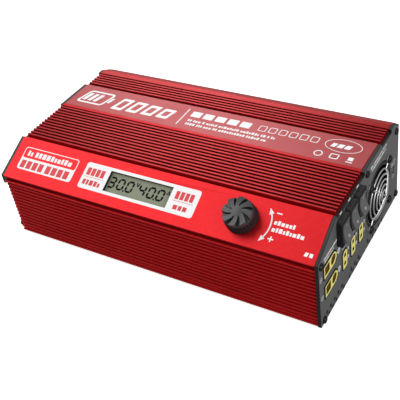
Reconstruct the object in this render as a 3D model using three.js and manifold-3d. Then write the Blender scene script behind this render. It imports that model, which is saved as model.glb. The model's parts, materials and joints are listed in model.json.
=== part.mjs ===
// Bench power supply in a finned aluminium housing: two extruded shells closed by two end plates.
// Millimetres. X runs along the extrusion towards the output end, Y from front to back, Z up.
import * as THREE from "three";
import { mergeVertices } from "three/addons/utils/BufferGeometryUtils.js";
import Module from "manifold-3d";

const wasm = await Module();
wasm.setup();

// ---------------------------------------------------------------- driving dimensions

// Clearances
const SEAT = 0.05; // between two faces that rest on each other
const FIT = 0.2; // around a piece that slips into a cut-out
const RUN = 0.25; // around a piece that turns

// Housing
const LENGTH = 250; // extrusions, along X
const BACK = 144; // front lip to the root of the back fins
const HEIGHT = 70; // underside to the top lands
const WALL = 2.4;
const CEILING = 2;
const FIN_THICKNESS = 1.5;
const SIDE_FIN_PITCH = 3.2;
const SIDE_FIN_DEPTH = 2.4;
const TOP_FIN_DEPTH = 3;
const SCREW_GROOVE = 3.3; // slot under the nose that takes the upper front screws
const LIP_INSET = 0.8; // fin tips behind the lip

// Display face
const FACE_RUN = 30.5; // how far back the sloping face reaches
const FACE_RISE = 15.5; // how far it climbs
const NOSE = 1.2; // blunt front edge of the face

// Lands and fin groups on top, measured back from the lip
const FRONT_FINS = 13;
const FRONT_FIN_PITCH = 3.3;
const FRONT_LAND = 77;
const FRONT_LAND_WIDTH = 32.5;
const REAR_FINS = 5;
const REAR_LAND_WIDTH = 5;
const REAR_CHAMFER_WIDTH = 10.5;
const REAR_CHAMFER_DROP = 5;
const LABEL_THICKNESS = 0.4;
const LABEL_MARGIN = 2.5;

// Side fins
const BACK_SEAM = 24.35; // height where the shells meet at the back
const FIRST_BACK_FIN = 6;

// End plates and their screws
const PLATE = 2.5;
const HEAD_RADIUS = 2.6;
const HEAD_HEIGHT = 1.8;
const SHANK_RADIUS = 1.4;
const SHANK_LENGTH = 9;
const BOSS_RADIUS = 3.4;
const SLOT_WIDTH = 1.3;
const SLOT_HEIGHT = 2.8;
const SLOT_PITCH = 6.25;

// Fan
const FAN = 45;
const FAN_DEPTH = 15;
const FAN_BORE = FAN * 0.96;
const FAN_HOLES = FAN * 0.8; // screw spacing
const FAN_HUB = FAN * 0.46;
const FAN_BLADES = 7;
const FAN_FROM_BACK = 41;
const GUARD_WIRE = 1.4;
const GUARD_RISE = 2.6;
const GUARD_RINGS = [0.11, 0.21, 0.31, 0.41].map((share) => share * FAN);
const EYE_RADIUS = 2.9; // wire loop round each fan screw

// Rocker switches
const SWITCHES = 3;
const SWITCH_PITCH = 14;
const FIRST_SWITCH = 35.2;
const BEZEL_WIDTH = 13.4;
const BEZEL_HEIGHT = 20.4;
const BEZEL_PROUD = 4;
const ROCKER_WIDTH = 9.8;
const ROCKER_HEIGHT = 15.2;
const ROCKER_TILT = 11; // degrees each way

// Output sockets
const MAIN_SOCKET = { width: 20.4, height: 10.4, corner: 3.2, cell: 3.7, spread: 10, recess: 5 };
const AUX_SOCKET = { width: 8, height: 16, corner: 2.4, cell: 1.7, spread: 7, recess: 1.5 };
const AUX_SOCKETS = 3;
const AUX_PITCH = 14.2;
const SOCKET_DEPTH = 16;
const SOCKET_PROUD = 0.6;
const CONTACT_CLEARANCE = 0.25;

// Display and control on the sloping face; y runs up the slope, z out of it
const DISPLAY = { x: -12, y: 17.5, width: 52, height: 15.6 };
const BEZEL_WALL = 0.8;
const KNOB = { x: 69.4, y: 17.1, radius: 11.3, height: 12.3 };
const SHAFT_RADIUS = 3;

// Electronics and feet
const BOARD = 1.6;
const BOARD_HEIGHT = 9.5;
const RAIL = 2.6;
const FOOT_HEIGHT = 2;
const FOOT_RADIUS = 6;
const FOOT_INSET = 20;

// ---------------------------------------------------------------- derived places

const HALF = LENGTH / 2;
const FACE_ANGLE = Math.atan2(FACE_RISE, FACE_RUN);
const FACE_BOTTOM = HEIGHT - FACE_RISE;
const GROOVE_TOP = FACE_BOTTOM - NOSE;
const LIP_TOP = GROOVE_TOP - SCREW_GROOVE;
const LIP_BOTTOM = LIP_TOP - 1.8;
const FRONT_ROOT = LIP_INSET + SIDE_FIN_DEPTH;
const FRONT_INNER = FRONT_ROOT + WALL;
const BACK_INNER = BACK - WALL;
const TOP_ROOT = HEIGHT - TOP_FIN_DEPTH;
const TOP_INNER = TOP_ROOT - CEILING;
const FRONT_LAND_END = FRONT_LAND + FRONT_LAND_WIDTH;
const REAR_LAND_END = BACK - REAR_CHAMFER_WIDTH;
const REAR_LAND = REAR_LAND_END - REAR_LAND_WIDTH;
const PLATE_INNER = HALF + SEAT;
const PLATE_OUTER = PLATE_INNER + PLATE;
const FAN_Y = BACK - FAN_FROM_BACK;
const FAN_Z = HEIGHT / 2 - 3;
const SWITCH_Z = TOP_INNER - (BEZEL_HEIGHT - 3) / 2 - 0.3;
const MAIN_SOCKET_PLACES = [[FRONT_INNER + 11.3, 42.4], [FRONT_INNER + 12, 25.5]];
const AUX_Z = 26;
const auxY = (i) => 40 + i * AUX_PITCH;
const USB = { y: FAN_Y + FAN / 2 + 7.5, z: 32, width: 5.8, height: 13.2, depth: 14 };
const INLET = { y: FAN_Y, z: 32, width: 24, height: 16.4, depth: 18 };
const SCREW_PLACES = [
  [FRONT_INNER - 2, (LIP_TOP + GROOVE_TOP) / 2],
  [FRONT_INNER - 0.6, 3.8],
  [FRONT_LAND + 4, HEIGHT - 4.6],
  [BACK - 6, HEIGHT - 7.8],
  [BACK - 4.4, 5],
];

// ---------------------------------------------------------------- solids

const flat = (points) => points.map(([u, v]) => new THREE.Vector2(u, v));

/** A shape from corner points, with holes that are lists of corner points. */
function outline(points, holes = []) {
  const shape = new THREE.Shape(flat(points));
  shape.holes = holes.map((hole) => new THREE.Path(flat(hole)));
  return shape;
}

const rectangle = (u, v, width, height) => [
  [u - width / 2, v - height / 2],
  [u + width / 2, v - height / 2],
  [u + width / 2, v + height / 2],
  [u - width / 2, v + height / 2],
];

const circle = (u, v, radius, sides) =>
  Array.from({ length: sides }, (_, i) => {
    const angle = (2 * Math.PI * (i + 0.5)) / sides;
    return [u + radius * Math.cos(angle), v + radius * Math.sin(angle)];
  });

/** A rectangle with chosen corners cut at 45 degrees: cuts go round from bottom left. */
function cornered(u, v, width, height, cuts) {
  const points = [];
  rectangle(u, v, width, height).forEach(([cu, cv], i) => {
    const cut = cuts[i];
    const su = Math.sign(u - cu) * cut;
    const sv = Math.sign(v - cv) * cut;
    if (cut === 0) points.push([cu, cv]);
    else if (i % 2 === 0) points.push([cu, cv + sv], [cu + su, cv]);
    else points.push([cu + su, cv], [cu, cv + sv]);
  });
  return points;
}

/** Extrudes a (y, z) shape along X from `from` to `to`. */
function alongX(shape, from, to) {
  const geometry = new THREE.ExtrudeGeometry(shape, { depth: to - from, bevelEnabled: false });
  geometry.applyMatrix4(new THREE.Matrix4().set(0, 0, 1, from, 1, 0, 0, 0, 0, 1, 0, 0, 0, 0, 0, 1));
  return geometry;
}

/** Extrudes an (x, y) shape along Z from `from` to `to`. */
function alongZ(shape, from, to) {
  const geometry = new THREE.ExtrudeGeometry(shape, { depth: to - from, bevelEnabled: false });
  return geometry.translate(0, 0, from);
}

function box(x, y, z) {
  const geometry = new THREE.BoxGeometry(x[1] - x[0], y[1] - y[0], z[1] - z[0]);
  return geometry.translate((x[0] + x[1]) / 2, (y[0] + y[1]) / 2, (z[0] + z[1]) / 2);
}

/** Turns a profile of (radius, height) points about Z. */
function turned(profile, sides) {
  const geometry = new THREE.LatheGeometry(flat(profile), sides);
  return geometry.rotateX(Math.PI / 2);
}

/** Turns a profile of (radius, height) points about X, with height along +X. */
const turnedX = (profile, sides) => turned(profile, sides).rotateY(Math.PI / 2);

const discX = (radius, from, to, sides) =>
  turnedX([[0, from], [radius, from], [radius, to], [0, to]], sides);

/** A closed solid from a three.js geometry, ready to be cut or joined. */
function solid(geometry) {
  const bare = geometry.clone();
  bare.deleteAttribute("normal");
  bare.deleteAttribute("uv");
  const merged = mergeVertices(bare, 1e-4);
  const corners = [];
  for (let i = 0; i < merged.index.count; i += 3) {
    const [a, b, c] = [0, 1, 2].map((k) => merged.index.getX(i + k));
    if (a !== b && b !== c && c !== a) corners.push(a, b, c);
  }
  const mesh = new wasm.Mesh({
    numProp: 3,
    vertProperties: new Float32Array(merged.attributes.position.array),
    triVerts: new Uint32Array(corners),
  });
  return new wasm.Manifold(mesh);
}

const join = (first, ...rest) => rest.reduce((sum, next) => sum.add(next), first);
const cut = (first, ...tools) => tools.reduce((left, tool) => left.subtract(tool), first);

/** The faces of a cut or joined solid, as a flat-shaded geometry. */
function faces(body) {
  const mesh = body.getMesh();
  const geometry = new THREE.BufferGeometry();
  const positions = new Float32Array(mesh.vertProperties);
  geometry.setAttribute("position", new THREE.BufferAttribute(positions, 3));
  geometry.setIndex(new THREE.BufferAttribute(new Uint32Array(mesh.triVerts), 1));
  const split = geometry.toNonIndexed();
  split.computeVertexNormals();
  return split;
}

// ---------------------------------------------------------------- finishes

const finish = (color, roughness, metalness) =>
  new THREE.MeshStandardMaterial({ color, roughness, metalness });

const redAnodised = finish(0xd4161c, 0.35, 0.7);
const labelFilm = finish(0xc8484c, 0.45, 0.3);
const darkPaint = finish(0x4a4b4d, 0.6, 0.2);
const blackPlastic = finish(0x161616, 0.5, 0);
const yellowPlastic = finish(0xe6d878, 0.5, 0);
const chromedWire = finish(0xd8d8d8, 0.15, 1);
const blackSteel = finish(0x202020, 0.4, 0.8);
const goldPlate = finish(0xc9a227, 0.3, 1);
const glassPanel = finish(0x8f9a80, 0.2, 0);
const greenBoard = finish(0x1f5a34, 0.5, 0);
const rubber = finish(0x111111, 0.9, 0);
const bareAluminium = finish(0xb9bcc0, 0.4, 0.9);
const tapeYellow = finish(0xd9c24a, 0.6, 0);
const copperWire = finish(0xa8552a, 0.35, 0.9);
const sleeveBlue = finish(0x20304f, 0.4, 0);
const steel = finish(0xc2c4c6, 0.3, 1);

/** A named mesh at a place in its group. */
function piece(name, shape, material, x = 0, y = 0, z = 0) {
  const geometry = shape instanceof THREE.BufferGeometry ? shape : faces(shape);
  const mesh = new THREE.Mesh(geometry, material);
  mesh.name = name;
  mesh.position.set(x, y, z);
  return mesh;
}

const housing = new THREE.Group();

// ---------------------------------------------------------------- extruded shells

/** Corner points of a row of square fins that start at (u, v) and step along (du, dv). */
function finRow(count, pitch, depth, [u, v], [du, dv], [ru, rv]) {
  const points = [];
  for (let i = 0; i < count; i++) {
    const near = i * pitch;
    const far = near + FIN_THICKNESS;
    points.push([u + du * near, v + dv * near]);
    points.push([u + du * near + ru * depth, v + dv * near + rv * depth]);
    points.push([u + du * far + ru * depth, v + dv * far + rv * depth]);
    points.push([u + du * far, v + dv * far]);
  }
  return points;
}

const faceLine = (run, depth) => [
  run + depth * Math.sin(FACE_ANGLE),
  FACE_BOTTOM + run * Math.tan(FACE_ANGLE) - depth * Math.cos(FACE_ANGLE),
];
const faceInnerAtHeight = (z) => {
  const [y0, z0] = faceLine(0, WALL);
  return y0 + (z - z0) / Math.tan(FACE_ANGLE);
};
const faceInnerAtRun = (y) => {
  const [y0, z0] = faceLine(0, WALL);
  return z0 + (y - y0) * Math.tan(FACE_ANGLE);
};

const FRONT_GAP = FRONT_FIN_PITCH - FIN_THICKNESS;
const firstFrontFin = FRONT_LAND - FRONT_GAP - FIN_THICKNESS - (FRONT_FINS - 1) * FRONT_FIN_PITCH;
const SIDE_GAP = SIDE_FIN_PITCH - FIN_THICKNESS;
const firstRearFin = REAR_LAND - SIDE_GAP - FIN_THICKNESS - (REAR_FINS - 1) * SIDE_FIN_PITCH;
const firstUpperBackFin = BACK_SEAM + SIDE_GAP / 2;
const upperBackTop = HEIGHT - REAR_CHAMFER_DROP - 2;
const upperBackFins = Math.floor((upperBackTop - firstUpperBackFin) / SIDE_FIN_PITCH) + 1;
const lowerBackFins = Math.floor((BACK_SEAM - FIRST_BACK_FIN - FIN_THICKNESS) / SIDE_FIN_PITCH) + 1;
const lowerFrontFins = Math.floor((LIP_BOTTOM - 3) / SIDE_FIN_PITCH);
const TONGUE = 2;
const TONGUE_REACH = 6;
const tongueFront = FRONT_INNER + FIT;
const tongueBack = BACK_INNER - FIT;

const bosses = (places) => places.map(([y, z]) =>
  solid(alongX(outline(circle(y, z, BOSS_RADIUS, 12)), -HALF, HALF)));
const screwHoles = (places) => places.flatMap(([y, z]) => [-1, 1].map((side) => {
  const depth = SHANK_LENGTH - PLATE + 3;
  const hole = discX(SHANK_RADIUS + RUN, -depth, 1, 10);
  if (side < 0) hole.rotateZ(Math.PI);
  return solid(hole.translate(side * HALF, y, z));
}));

function topShell() {
  const section = [
    [0, GROOVE_TOP + 0.3],
    [0, FACE_BOTTOM],
    [FACE_RUN, HEIGHT],
    [FACE_RUN, TOP_ROOT],
    ...finRow(FRONT_FINS, FRONT_FIN_PITCH, TOP_FIN_DEPTH, [firstFrontFin, TOP_ROOT], [1, 0], [0, 1]),
    [FRONT_LAND, TOP_ROOT],
    [FRONT_LAND, HEIGHT - 0.4],
    [FRONT_LAND + 0.5, HEIGHT],
    [FRONT_LAND + LABEL_MARGIN, HEIGHT],
    [FRONT_LAND + LABEL_MARGIN, HEIGHT - LABEL_THICKNESS - SEAT],
    [FRONT_LAND_END, HEIGHT - LABEL_THICKNESS - SEAT],
    [FRONT_LAND_END, TOP_ROOT],
    ...finRow(REAR_FINS, SIDE_FIN_PITCH, TOP_FIN_DEPTH, [firstRearFin, TOP_ROOT], [1, 0], [0, 1]),
    [REAR_LAND, TOP_ROOT],
    [REAR_LAND, HEIGHT],
    [REAR_LAND_END, HEIGHT],
    [BACK, HEIGHT - REAR_CHAMFER_DROP],
    ...finRow(upperBackFins, SIDE_FIN_PITCH, SIDE_FIN_DEPTH, [BACK, firstUpperBackFin], [0, 1], [1, 0]).reverse(),
    [BACK, BACK_SEAM + SEAT],
    [tongueBack, BACK_SEAM + SEAT],
    [tongueBack, BACK_SEAM - TONGUE_REACH],
    [tongueBack - TONGUE, BACK_SEAM - TONGUE_REACH],
    [tongueBack - TONGUE, BACK_SEAM + TONGUE_REACH],
    [BACK_INNER, BACK_SEAM + TONGUE_REACH + TONGUE],
    [BACK_INNER, TOP_INNER - REAR_CHAMFER_DROP],
    [BACK_INNER - REAR_CHAMFER_DROP, TOP_INNER],
    [faceInnerAtHeight(TOP_INNER), TOP_INNER],
    [tongueFront + TONGUE, faceInnerAtRun(tongueFront + TONGUE)],
    [tongueFront + TONGUE, LIP_BOTTOM - TONGUE_REACH],
    [tongueFront, LIP_BOTTOM - TONGUE_REACH],
    [tongueFront, GROOVE_TOP],
    [0.3, GROOVE_TOP],
  ];
  const places = SCREW_PLACES.slice(2, 4);
  const shell = join(solid(alongX(outline(section), -HALF, HALF)), ...bosses(places));
  const window = box(
    [DISPLAY.x - DISPLAY.width / 2 - BEZEL_WALL - FIT, DISPLAY.x + DISPLAY.width / 2 + BEZEL_WALL + FIT],
    [DISPLAY.y - DISPLAY.height / 2 - BEZEL_WALL - FIT, DISPLAY.y + DISPLAY.height / 2 + BEZEL_WALL + FIT],
    [-WALL - 2, 2],
  );
  const shaftHole = turned([[0, -WALL - 2], [SHAFT_RADIUS + 0.6, -WALL - 2], [SHAFT_RADIUS + 0.6, 2], [0, 2]], 16);
  shaftHole.translate(KNOB.x, KNOB.y, 0);
  const onFace = [window, shaftHole].map((tool) => solid(tool.applyMatrix4(faceMatrix)));
  const socketRelief = box(
    [HALF - SOCKET_DEPTH - 6, HALF + 1],
    [tongueFront - 1, tongueFront + TONGUE + 1],
    [0, MAIN_SOCKET_PLACES[0][1] + MAIN_SOCKET.height / 2 + 1.2],
  );
  return cut(shell, ...screwHoles(places), ...onFace, solid(socketRelief));
}

function bottomShell() {
  const rail = BOARD_HEIGHT - FIT;
  const railTop = BOARD_HEIGHT + BOARD + FIT;
  const lowestFin = LIP_BOTTOM - SIDE_GAP - FIN_THICKNESS - (lowerFrontFins - 1) * SIDE_FIN_PITCH;
  const rails = (wall, inwards) => [
    [wall, railTop + 1.2],
    [wall + inwards * RAIL, railTop + 1.2],
    [wall + inwards * RAIL, railTop],
    [wall, railTop],
    [wall, rail],
    [wall + inwards * RAIL, rail],
    [wall + inwards * RAIL, rail - 1.2],
    [wall, rail - 1.2],
  ];
  const section = [
    [FRONT_INNER, LIP_TOP],
    [0.3, LIP_TOP],
    [0, LIP_TOP - 0.3],
    [0, LIP_BOTTOM + 0.3],
    [0.3, LIP_BOTTOM],
    [FRONT_ROOT, LIP_BOTTOM],
    ...finRow(lowerFrontFins, SIDE_FIN_PITCH, SIDE_FIN_DEPTH, [FRONT_ROOT, lowestFin], [0, 1], [-1, 0]).reverse(),
    [FRONT_ROOT, 1.8],
    [LIP_INSET, 1.8],
    [LIP_INSET, 0.5],
    [LIP_INSET + 0.5, 0],
    [BACK - 3, 0],
    [BACK, 4],
    ...finRow(lowerBackFins, SIDE_FIN_PITCH, SIDE_FIN_DEPTH, [BACK, FIRST_BACK_FIN], [0, 1], [1, 0]),
    [BACK, BACK_SEAM - SEAT],
    [BACK_INNER, BACK_SEAM - SEAT],
    ...rails(BACK_INNER, -1),
    [BACK_INNER, 4.5],
    [BACK_INNER - 2, WALL],
    [FRONT_INNER, WALL],
    ...rails(FRONT_INNER, 1).reverse(),
  ];
  const places = [SCREW_PLACES[1], SCREW_PLACES[4]];
  const shell = join(solid(alongX(outline(section), -HALF, HALF)), ...bosses(places));
  return cut(shell, ...screwHoles(places));
}

const displayFace = new THREE.Group();
displayFace.position.set(0, 0, FACE_BOTTOM);
displayFace.rotation.x = FACE_ANGLE;
displayFace.updateMatrix();
const faceMatrix = displayFace.matrix;

const label = box(
  [-HALF + 0.5, HALF - 0.5],
  [FRONT_LAND + LABEL_MARGIN + SEAT, FRONT_LAND_END - SEAT],
  [HEIGHT - LABEL_THICKNESS, HEIGHT],
);
housing.add(
  piece("top_shell", topShell(), redAnodised),
  piece("bottom_shell", bottomShell(), redAnodised),
  piece("top_label", label, labelFilm),
);

// ---------------------------------------------------------------- end plates

const PLATE_EDGE = 0.3; // the plates stand this far inside the lands
const plateOutline = (lowerEdge) => [
  [lowerEdge, PLATE_EDGE],
  [lowerEdge, LIP_BOTTOM - 2],
  [PLATE_EDGE, LIP_BOTTOM - 1],
  [PLATE_EDGE, FACE_BOTTOM],
  [FACE_RUN, HEIGHT - PLATE_EDGE],
  [FACE_RUN, TOP_ROOT],
  [FRONT_LAND, TOP_ROOT],
  [FRONT_LAND, HEIGHT - PLATE_EDGE],
  [FRONT_LAND_END, HEIGHT - PLATE_EDGE],
  [FRONT_LAND_END, TOP_ROOT],
  [REAR_LAND, TOP_ROOT],
  [REAR_LAND, HEIGHT - PLATE_EDGE],
  [REAR_LAND_END, HEIGHT - PLATE_EDGE],
  [BACK, HEIGHT - REAR_CHAMFER_DROP - PLATE_EDGE],
  [BACK, 4],
  [BACK - 3, PLATE_EDGE],
];
const endPlate = (lowerEdge, holes, from, to) => cut(
  solid(alongX(outline(plateOutline(lowerEdge)), from, to)),
  ...holes.map((hole) => solid(alongX(outline(hole), from - 1, to + 1))),
);
const plateScrewHoles = SCREW_PLACES.map(([y, z]) => circle(y, z, SHANK_RADIUS + RUN, 10));
const slot = (y, z) => rectangle(y, z, SLOT_WIDTH, SLOT_HEIGHT);
const slotRow = (from, count, z) => Array.from({ length: count }, (_, i) => slot(from + i * SLOT_PITCH, z));
const LOWER_SLOTS = 2.3;
const UPPER_SLOTS = 6;

const fanScrewPlaces = [[-1, -1], [1, -1], [1, 1], [-1, 1]].map(([sy, sz]) => [
  FAN_Y + (sy * FAN_HOLES) / 2,
  FAN_Z + (sz * FAN_HOLES) / 2,
]);
const switchY = (i) => FIRST_SWITCH + i * SWITCH_PITCH;
const switchBody = { width: BEZEL_WIDTH - 2, height: BEZEL_HEIGHT - 3 };
const mainCuts = [0, 1, 1, 0].map((on) => on * MAIN_SOCKET.corner);
const auxCuts = [1, 1, 1, 1].map((on) => on * AUX_SOCKET.corner);
const mainShape = (y, z, grow) =>
  cornered(y, z, MAIN_SOCKET.width + grow, MAIN_SOCKET.height + grow, mainCuts);
const auxShape = (y, z, grow) =>
  cornered(y, z, AUX_SOCKET.width + grow, AUX_SOCKET.height + grow, auxCuts);

function rightPlate() {
  const holes = [
    ...plateScrewHoles,
    circle(FAN_Y, FAN_Z, FAN_BORE / 2, 36),
    ...fanScrewPlaces.map(([y, z]) => circle(y, z, 1.8, 10)),
    ...Array.from({ length: SWITCHES }, (_, i) =>
      rectangle(switchY(i), SWITCH_Z, switchBody.width + 2 * FIT, switchBody.height + 2 * FIT)),
    ...MAIN_SOCKET_PLACES.map(([y, z]) => mainShape(y, z, 2 * FIT)),
    ...Array.from({ length: AUX_SOCKETS }, (_, i) => auxShape(auxY(i), AUX_Z, 2 * FIT)),
    rectangle(USB.y, USB.z, USB.width + 2 * FIT, USB.height + 2 * FIT),
    ...slotRow(9.6, 5, UPPER_SLOTS),
    ...slotRow(12.8, 5, LOWER_SLOTS),
    ...slotRow(48.2, 4, LOWER_SLOTS),
    ...slotRow(51.3, 3, UPPER_SLOTS),
    slot(FAN_Y - 21.4, UPPER_SLOTS),
    ...slotRow(FAN_Y - 18, 5, LOWER_SLOTS),
  ];
  return endPlate(PLATE_EDGE, holes, PLATE_INNER, PLATE_OUTER);
}

function leftPlate() {
  const columns = 8;
  const rows = 4;
  const grille = Array.from({ length: columns * rows }, (_, i) =>
    rectangle(28 + (i % columns) * 6, 18 + Math.floor(i / columns) * 9, 2, 6));
  const ears = [-20, 20].map((dy) => circle(INLET.y + dy, INLET.z, 1.8, 10));
  const holes = [
    ...plateScrewHoles,
    rectangle(INLET.y, INLET.z, INLET.width + 3 + 2 * FIT, INLET.height + 3 + 2 * FIT),
    ...ears,
    ...grille,
  ];
  return endPlate(FRONT_ROOT, holes, -PLATE_OUTER, -PLATE_INNER);
}

/** A pan-head screw whose head rests on x = 0 and whose shank points to -X. */
function panScrew(head, height, shank, length) {
  return turnedX([
    [0, -length], [shank, -length], [shank, SEAT], [head, SEAT],
    [head, height * 0.45], [head * 0.72, height * 0.88], [0, height],
  ], 12);
}

housing.add(
  piece("right_end_plate", rightPlate(), darkPaint),
  piece("left_end_plate", leftPlate(), darkPaint),
);
SCREW_PLACES.forEach(([y, z], i) => {
  const shape = () => panScrew(HEAD_RADIUS, HEAD_HEIGHT, SHANK_RADIUS, SHANK_LENGTH);
  housing.add(piece(`right_plate_screw_${i + 1}`, shape(), blackSteel, PLATE_OUTER, y, z));
  const left = piece(`left_plate_screw_${i + 1}`, shape(), blackSteel, -PLATE_OUTER, y, z);
  left.rotation.z = Math.PI;
  housing.add(left);
});

// ---------------------------------------------------------------- fan, guard and fan screws

const fan = new THREE.Group();
fan.position.set(PLATE_INNER - SEAT, FAN_Y, FAN_Z);
housing.add(fan);

function fanFrame() {
  const holes = fanScrewPlaces.map(([y, z]) => circle(y - FAN_Y, z - FAN_Z, 1.8, 10));
  const sleeve = outline(rectangle(0, 0, FAN, FAN), [circle(0, 0, FAN_BORE / 2, 36), ...holes]);
  const hub = discX(FAN_HUB / 2, -FAN_DEPTH, -FAN_DEPTH + 2.5, 20);
  const pin = discX(1.5, -FAN_DEPTH + 1, -6, 12);
  const struts = [0, 1, 2].map((i) => {
    const strut = box([-FAN_DEPTH, -FAN_DEPTH + 2], [-1.5, 1.5], [FAN_HUB / 2 - 1, FAN_BORE / 2 + 0.4]);
    return solid(strut.rotateX((i * 2 * Math.PI) / 3));
  });
  return join(solid(alongX(sleeve, -FAN_DEPTH, 0)), solid(hub), solid(pin), ...struts);
}

function fanRotor() {
  const back = -FAN_DEPTH + 2.5 + RUN;
  const front = -1.5;
  const bore = 1.5 + 0.08;
  const hub = turnedX([
    [bore, back], [FAN_HUB / 2, back], [FAN_HUB / 2, front - 1], [FAN_HUB / 2 - 1, front],
    [0, front], [0, -5], [bore, -5], [bore, back],
  ], 20);
  const tip = FAN_BORE / 2 - 0.8;
  const blades = Array.from({ length: FAN_BLADES }, (_, i) => {
    const blade = box([-0.6, 0.6], [-5.2, 5.2], [FAN_HUB / 2 - 0.8, tip - 0.7]);
    blade.rotateZ((50 * Math.PI) / 180).translate(-6.5, 0, 0);
    return solid(blade.rotateX((i * 2 * Math.PI) / FAN_BLADES));
  });
  return join(solid(hub), ...blades);
}

const straightWire = (from, to) => {
  const path = new THREE.LineCurve3(from, to);
  const shape = outline(circle(0, 0, GUARD_WIRE / 2, 6));
  return new THREE.ExtrudeGeometry(shape, { extrudePath: path, steps: 1 });
};

function fanGuard() {
  const wire = GUARD_WIRE / 2;
  const rim = PLATE + wire + SEAT;
  const outer = GUARD_RINGS[GUARD_RINGS.length - 1];
  const level = (radius) => rim + GUARD_RISE * (1 - (radius / outer) ** 2);
  const rings = GUARD_RINGS.map((radius) => {
    const ring = new THREE.TorusGeometry(radius, wire, 5, 28).rotateY(Math.PI / 2);
    return solid(ring.translate(level(radius), 0, 0));
  });
  const eye = (FAN_HOLES / 2) * Math.SQRT2;
  const arms = [0, 1, 2, 3].flatMap((i) => {
    const turn = new THREE.Vector3(1, 0, 0);
    const angle = Math.PI / 4 + (i * Math.PI) / 2;
    const at = (r) => new THREE.Vector3(level(Math.min(r, outer)), 0, r).applyAxisAngle(turn, angle);
    const loop = new THREE.TorusGeometry(EYE_RADIUS, wire, 5, 10).rotateY(Math.PI / 2).translate(rim, 0, eye);
    const stops = [eye - EYE_RADIUS, ...GUARD_RINGS.toReversed(), GUARD_RINGS[0] / 2];
    const spans = stops.slice(1).map((r, k) => solid(straightWire(at(stops[k]), at(r - wire))));
    return [solid(loop.rotateX(angle)), ...spans];
  });
  return join(...rings, ...arms);
}

fan.add(
  piece("fan_frame", fanFrame(), blackPlastic, -SEAT),
  piece("fan_rotor", fanRotor(), blackPlastic, -SEAT),
  piece("fan_guard", fanGuard(), chromedWire, SEAT),
);
fanScrewPlaces.forEach(([y, z], i) => {
  const shape = panScrew(3.1, 1.7, 1.6, PLATE + GUARD_WIRE + 8);
  const place = PLATE + GUARD_WIRE + 3 * SEAT;
  fan.add(piece(`fan_screw_${i + 1}`, shape, blackSteel, place, y - FAN_Y, z - FAN_Z));
});

// ---------------------------------------------------------------- rocker switches

const PIVOT = BEZEL_PROUD - 1.4; // rocker axis outside the plate
const pocket = { width: ROCKER_WIDTH + 2 * RUN, height: ROCKER_HEIGHT + 1.3 };

function switchFrame() {
  const bezel = alongX(outline(cornered(0, 0, BEZEL_WIDTH, BEZEL_HEIGHT, [1, 1, 1, 1])), SEAT, BEZEL_PROUD);
  const body = box([-16, SEAT + 0.5], [-switchBody.width / 2, switchBody.width / 2],
    [-switchBody.height / 2, switchBody.height / 2]);
  const well = box([PIVOT - 6.5, BEZEL_PROUD + 1], [-pocket.width / 2, pocket.width / 2],
    [-pocket.height / 2, pocket.height / 2]);
  const tabs = [-4.5, 0, 4.5].map((z) => solid(box([-22, -15], [-0.4, 0.4], [z - 1.2, z + 1.2])));
  return cut(join(solid(bezel), solid(body), ...tabs), solid(well));
}

function rocker() {
  const half = ROCKER_HEIGHT / 2;
  const side = [
    [-half, 4.4], [-half * 0.5, 3.0], [0, 2.4], [half * 0.5, 3.0], [half, 4.4],
    [half - 0.4, 0.2], [half * 0.62, -3.4], [1.5, -4.6], [-1.5, -4.6], [-half * 0.62, -3.4], [-half + 0.4, 0.2],
  ];
  const block = alongZ(outline(side), -ROCKER_WIDTH / 2, ROCKER_WIDTH / 2);
  block.applyMatrix4(new THREE.Matrix4().set(0, 1, 0, 0, 0, 0, 1, 0, 1, 0, 0, 0, 0, 0, 0, 1));
  return block.rotateY((-ROCKER_TILT * Math.PI) / 180);
}

for (let i = 0; i < SWITCHES; i++) {
  const unit = new THREE.Group();
  unit.position.set(PLATE_OUTER, switchY(i), SWITCH_Z);
  unit.add(
    piece(`switch_frame_${i + 1}`, switchFrame(), blackPlastic),
    piece(`rocker_${i + 1}`, rocker(), blackPlastic, PIVOT),
  );
  housing.add(unit);
}

// ---------------------------------------------------------------- output sockets and bus bars

/** A socket body with two contact cells side by side along (dy, dz). */
function outputSocket(shape, flange, size, [dy, dz]) {
  const body = alongX(outline(shape), -SOCKET_DEPTH, SOCKET_PROUD);
  const collar = alongX(outline(flange), -PLATE - SEAT - 1.5, -PLATE - SEAT);
  const cells = [-1, 1].map((side) => {
    const cell = discX(size.cell, -SOCKET_DEPTH - 1, SOCKET_PROUD + 1, 14);
    return solid(cell.translate(0, (side * dy * size.spread) / 2, (side * dz * size.spread) / 2));
  });
  return cut(join(solid(body), solid(collar)), ...cells);
}

MAIN_SOCKET_PLACES.forEach(([y, z], i) => {
  const shape = outputSocket(mainShape(0, 0, 0), mainShape(0, 0, 1.6), MAIN_SOCKET, [1, 0]);
  housing.add(piece(`main_output_socket_${i + 1}`, shape, yellowPlastic, PLATE_OUTER, y, z));
});
for (let i = 0; i < AUX_SOCKETS; i++) {
  const shape = outputSocket(auxShape(0, 0, 0), auxShape(0, 0, 1.6), AUX_SOCKET, [0, 1]);
  housing.add(piece(`aux_output_socket_${i + 1}`, shape, yellowPlastic, PLATE_OUTER, auxY(i), AUX_Z));
}

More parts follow.
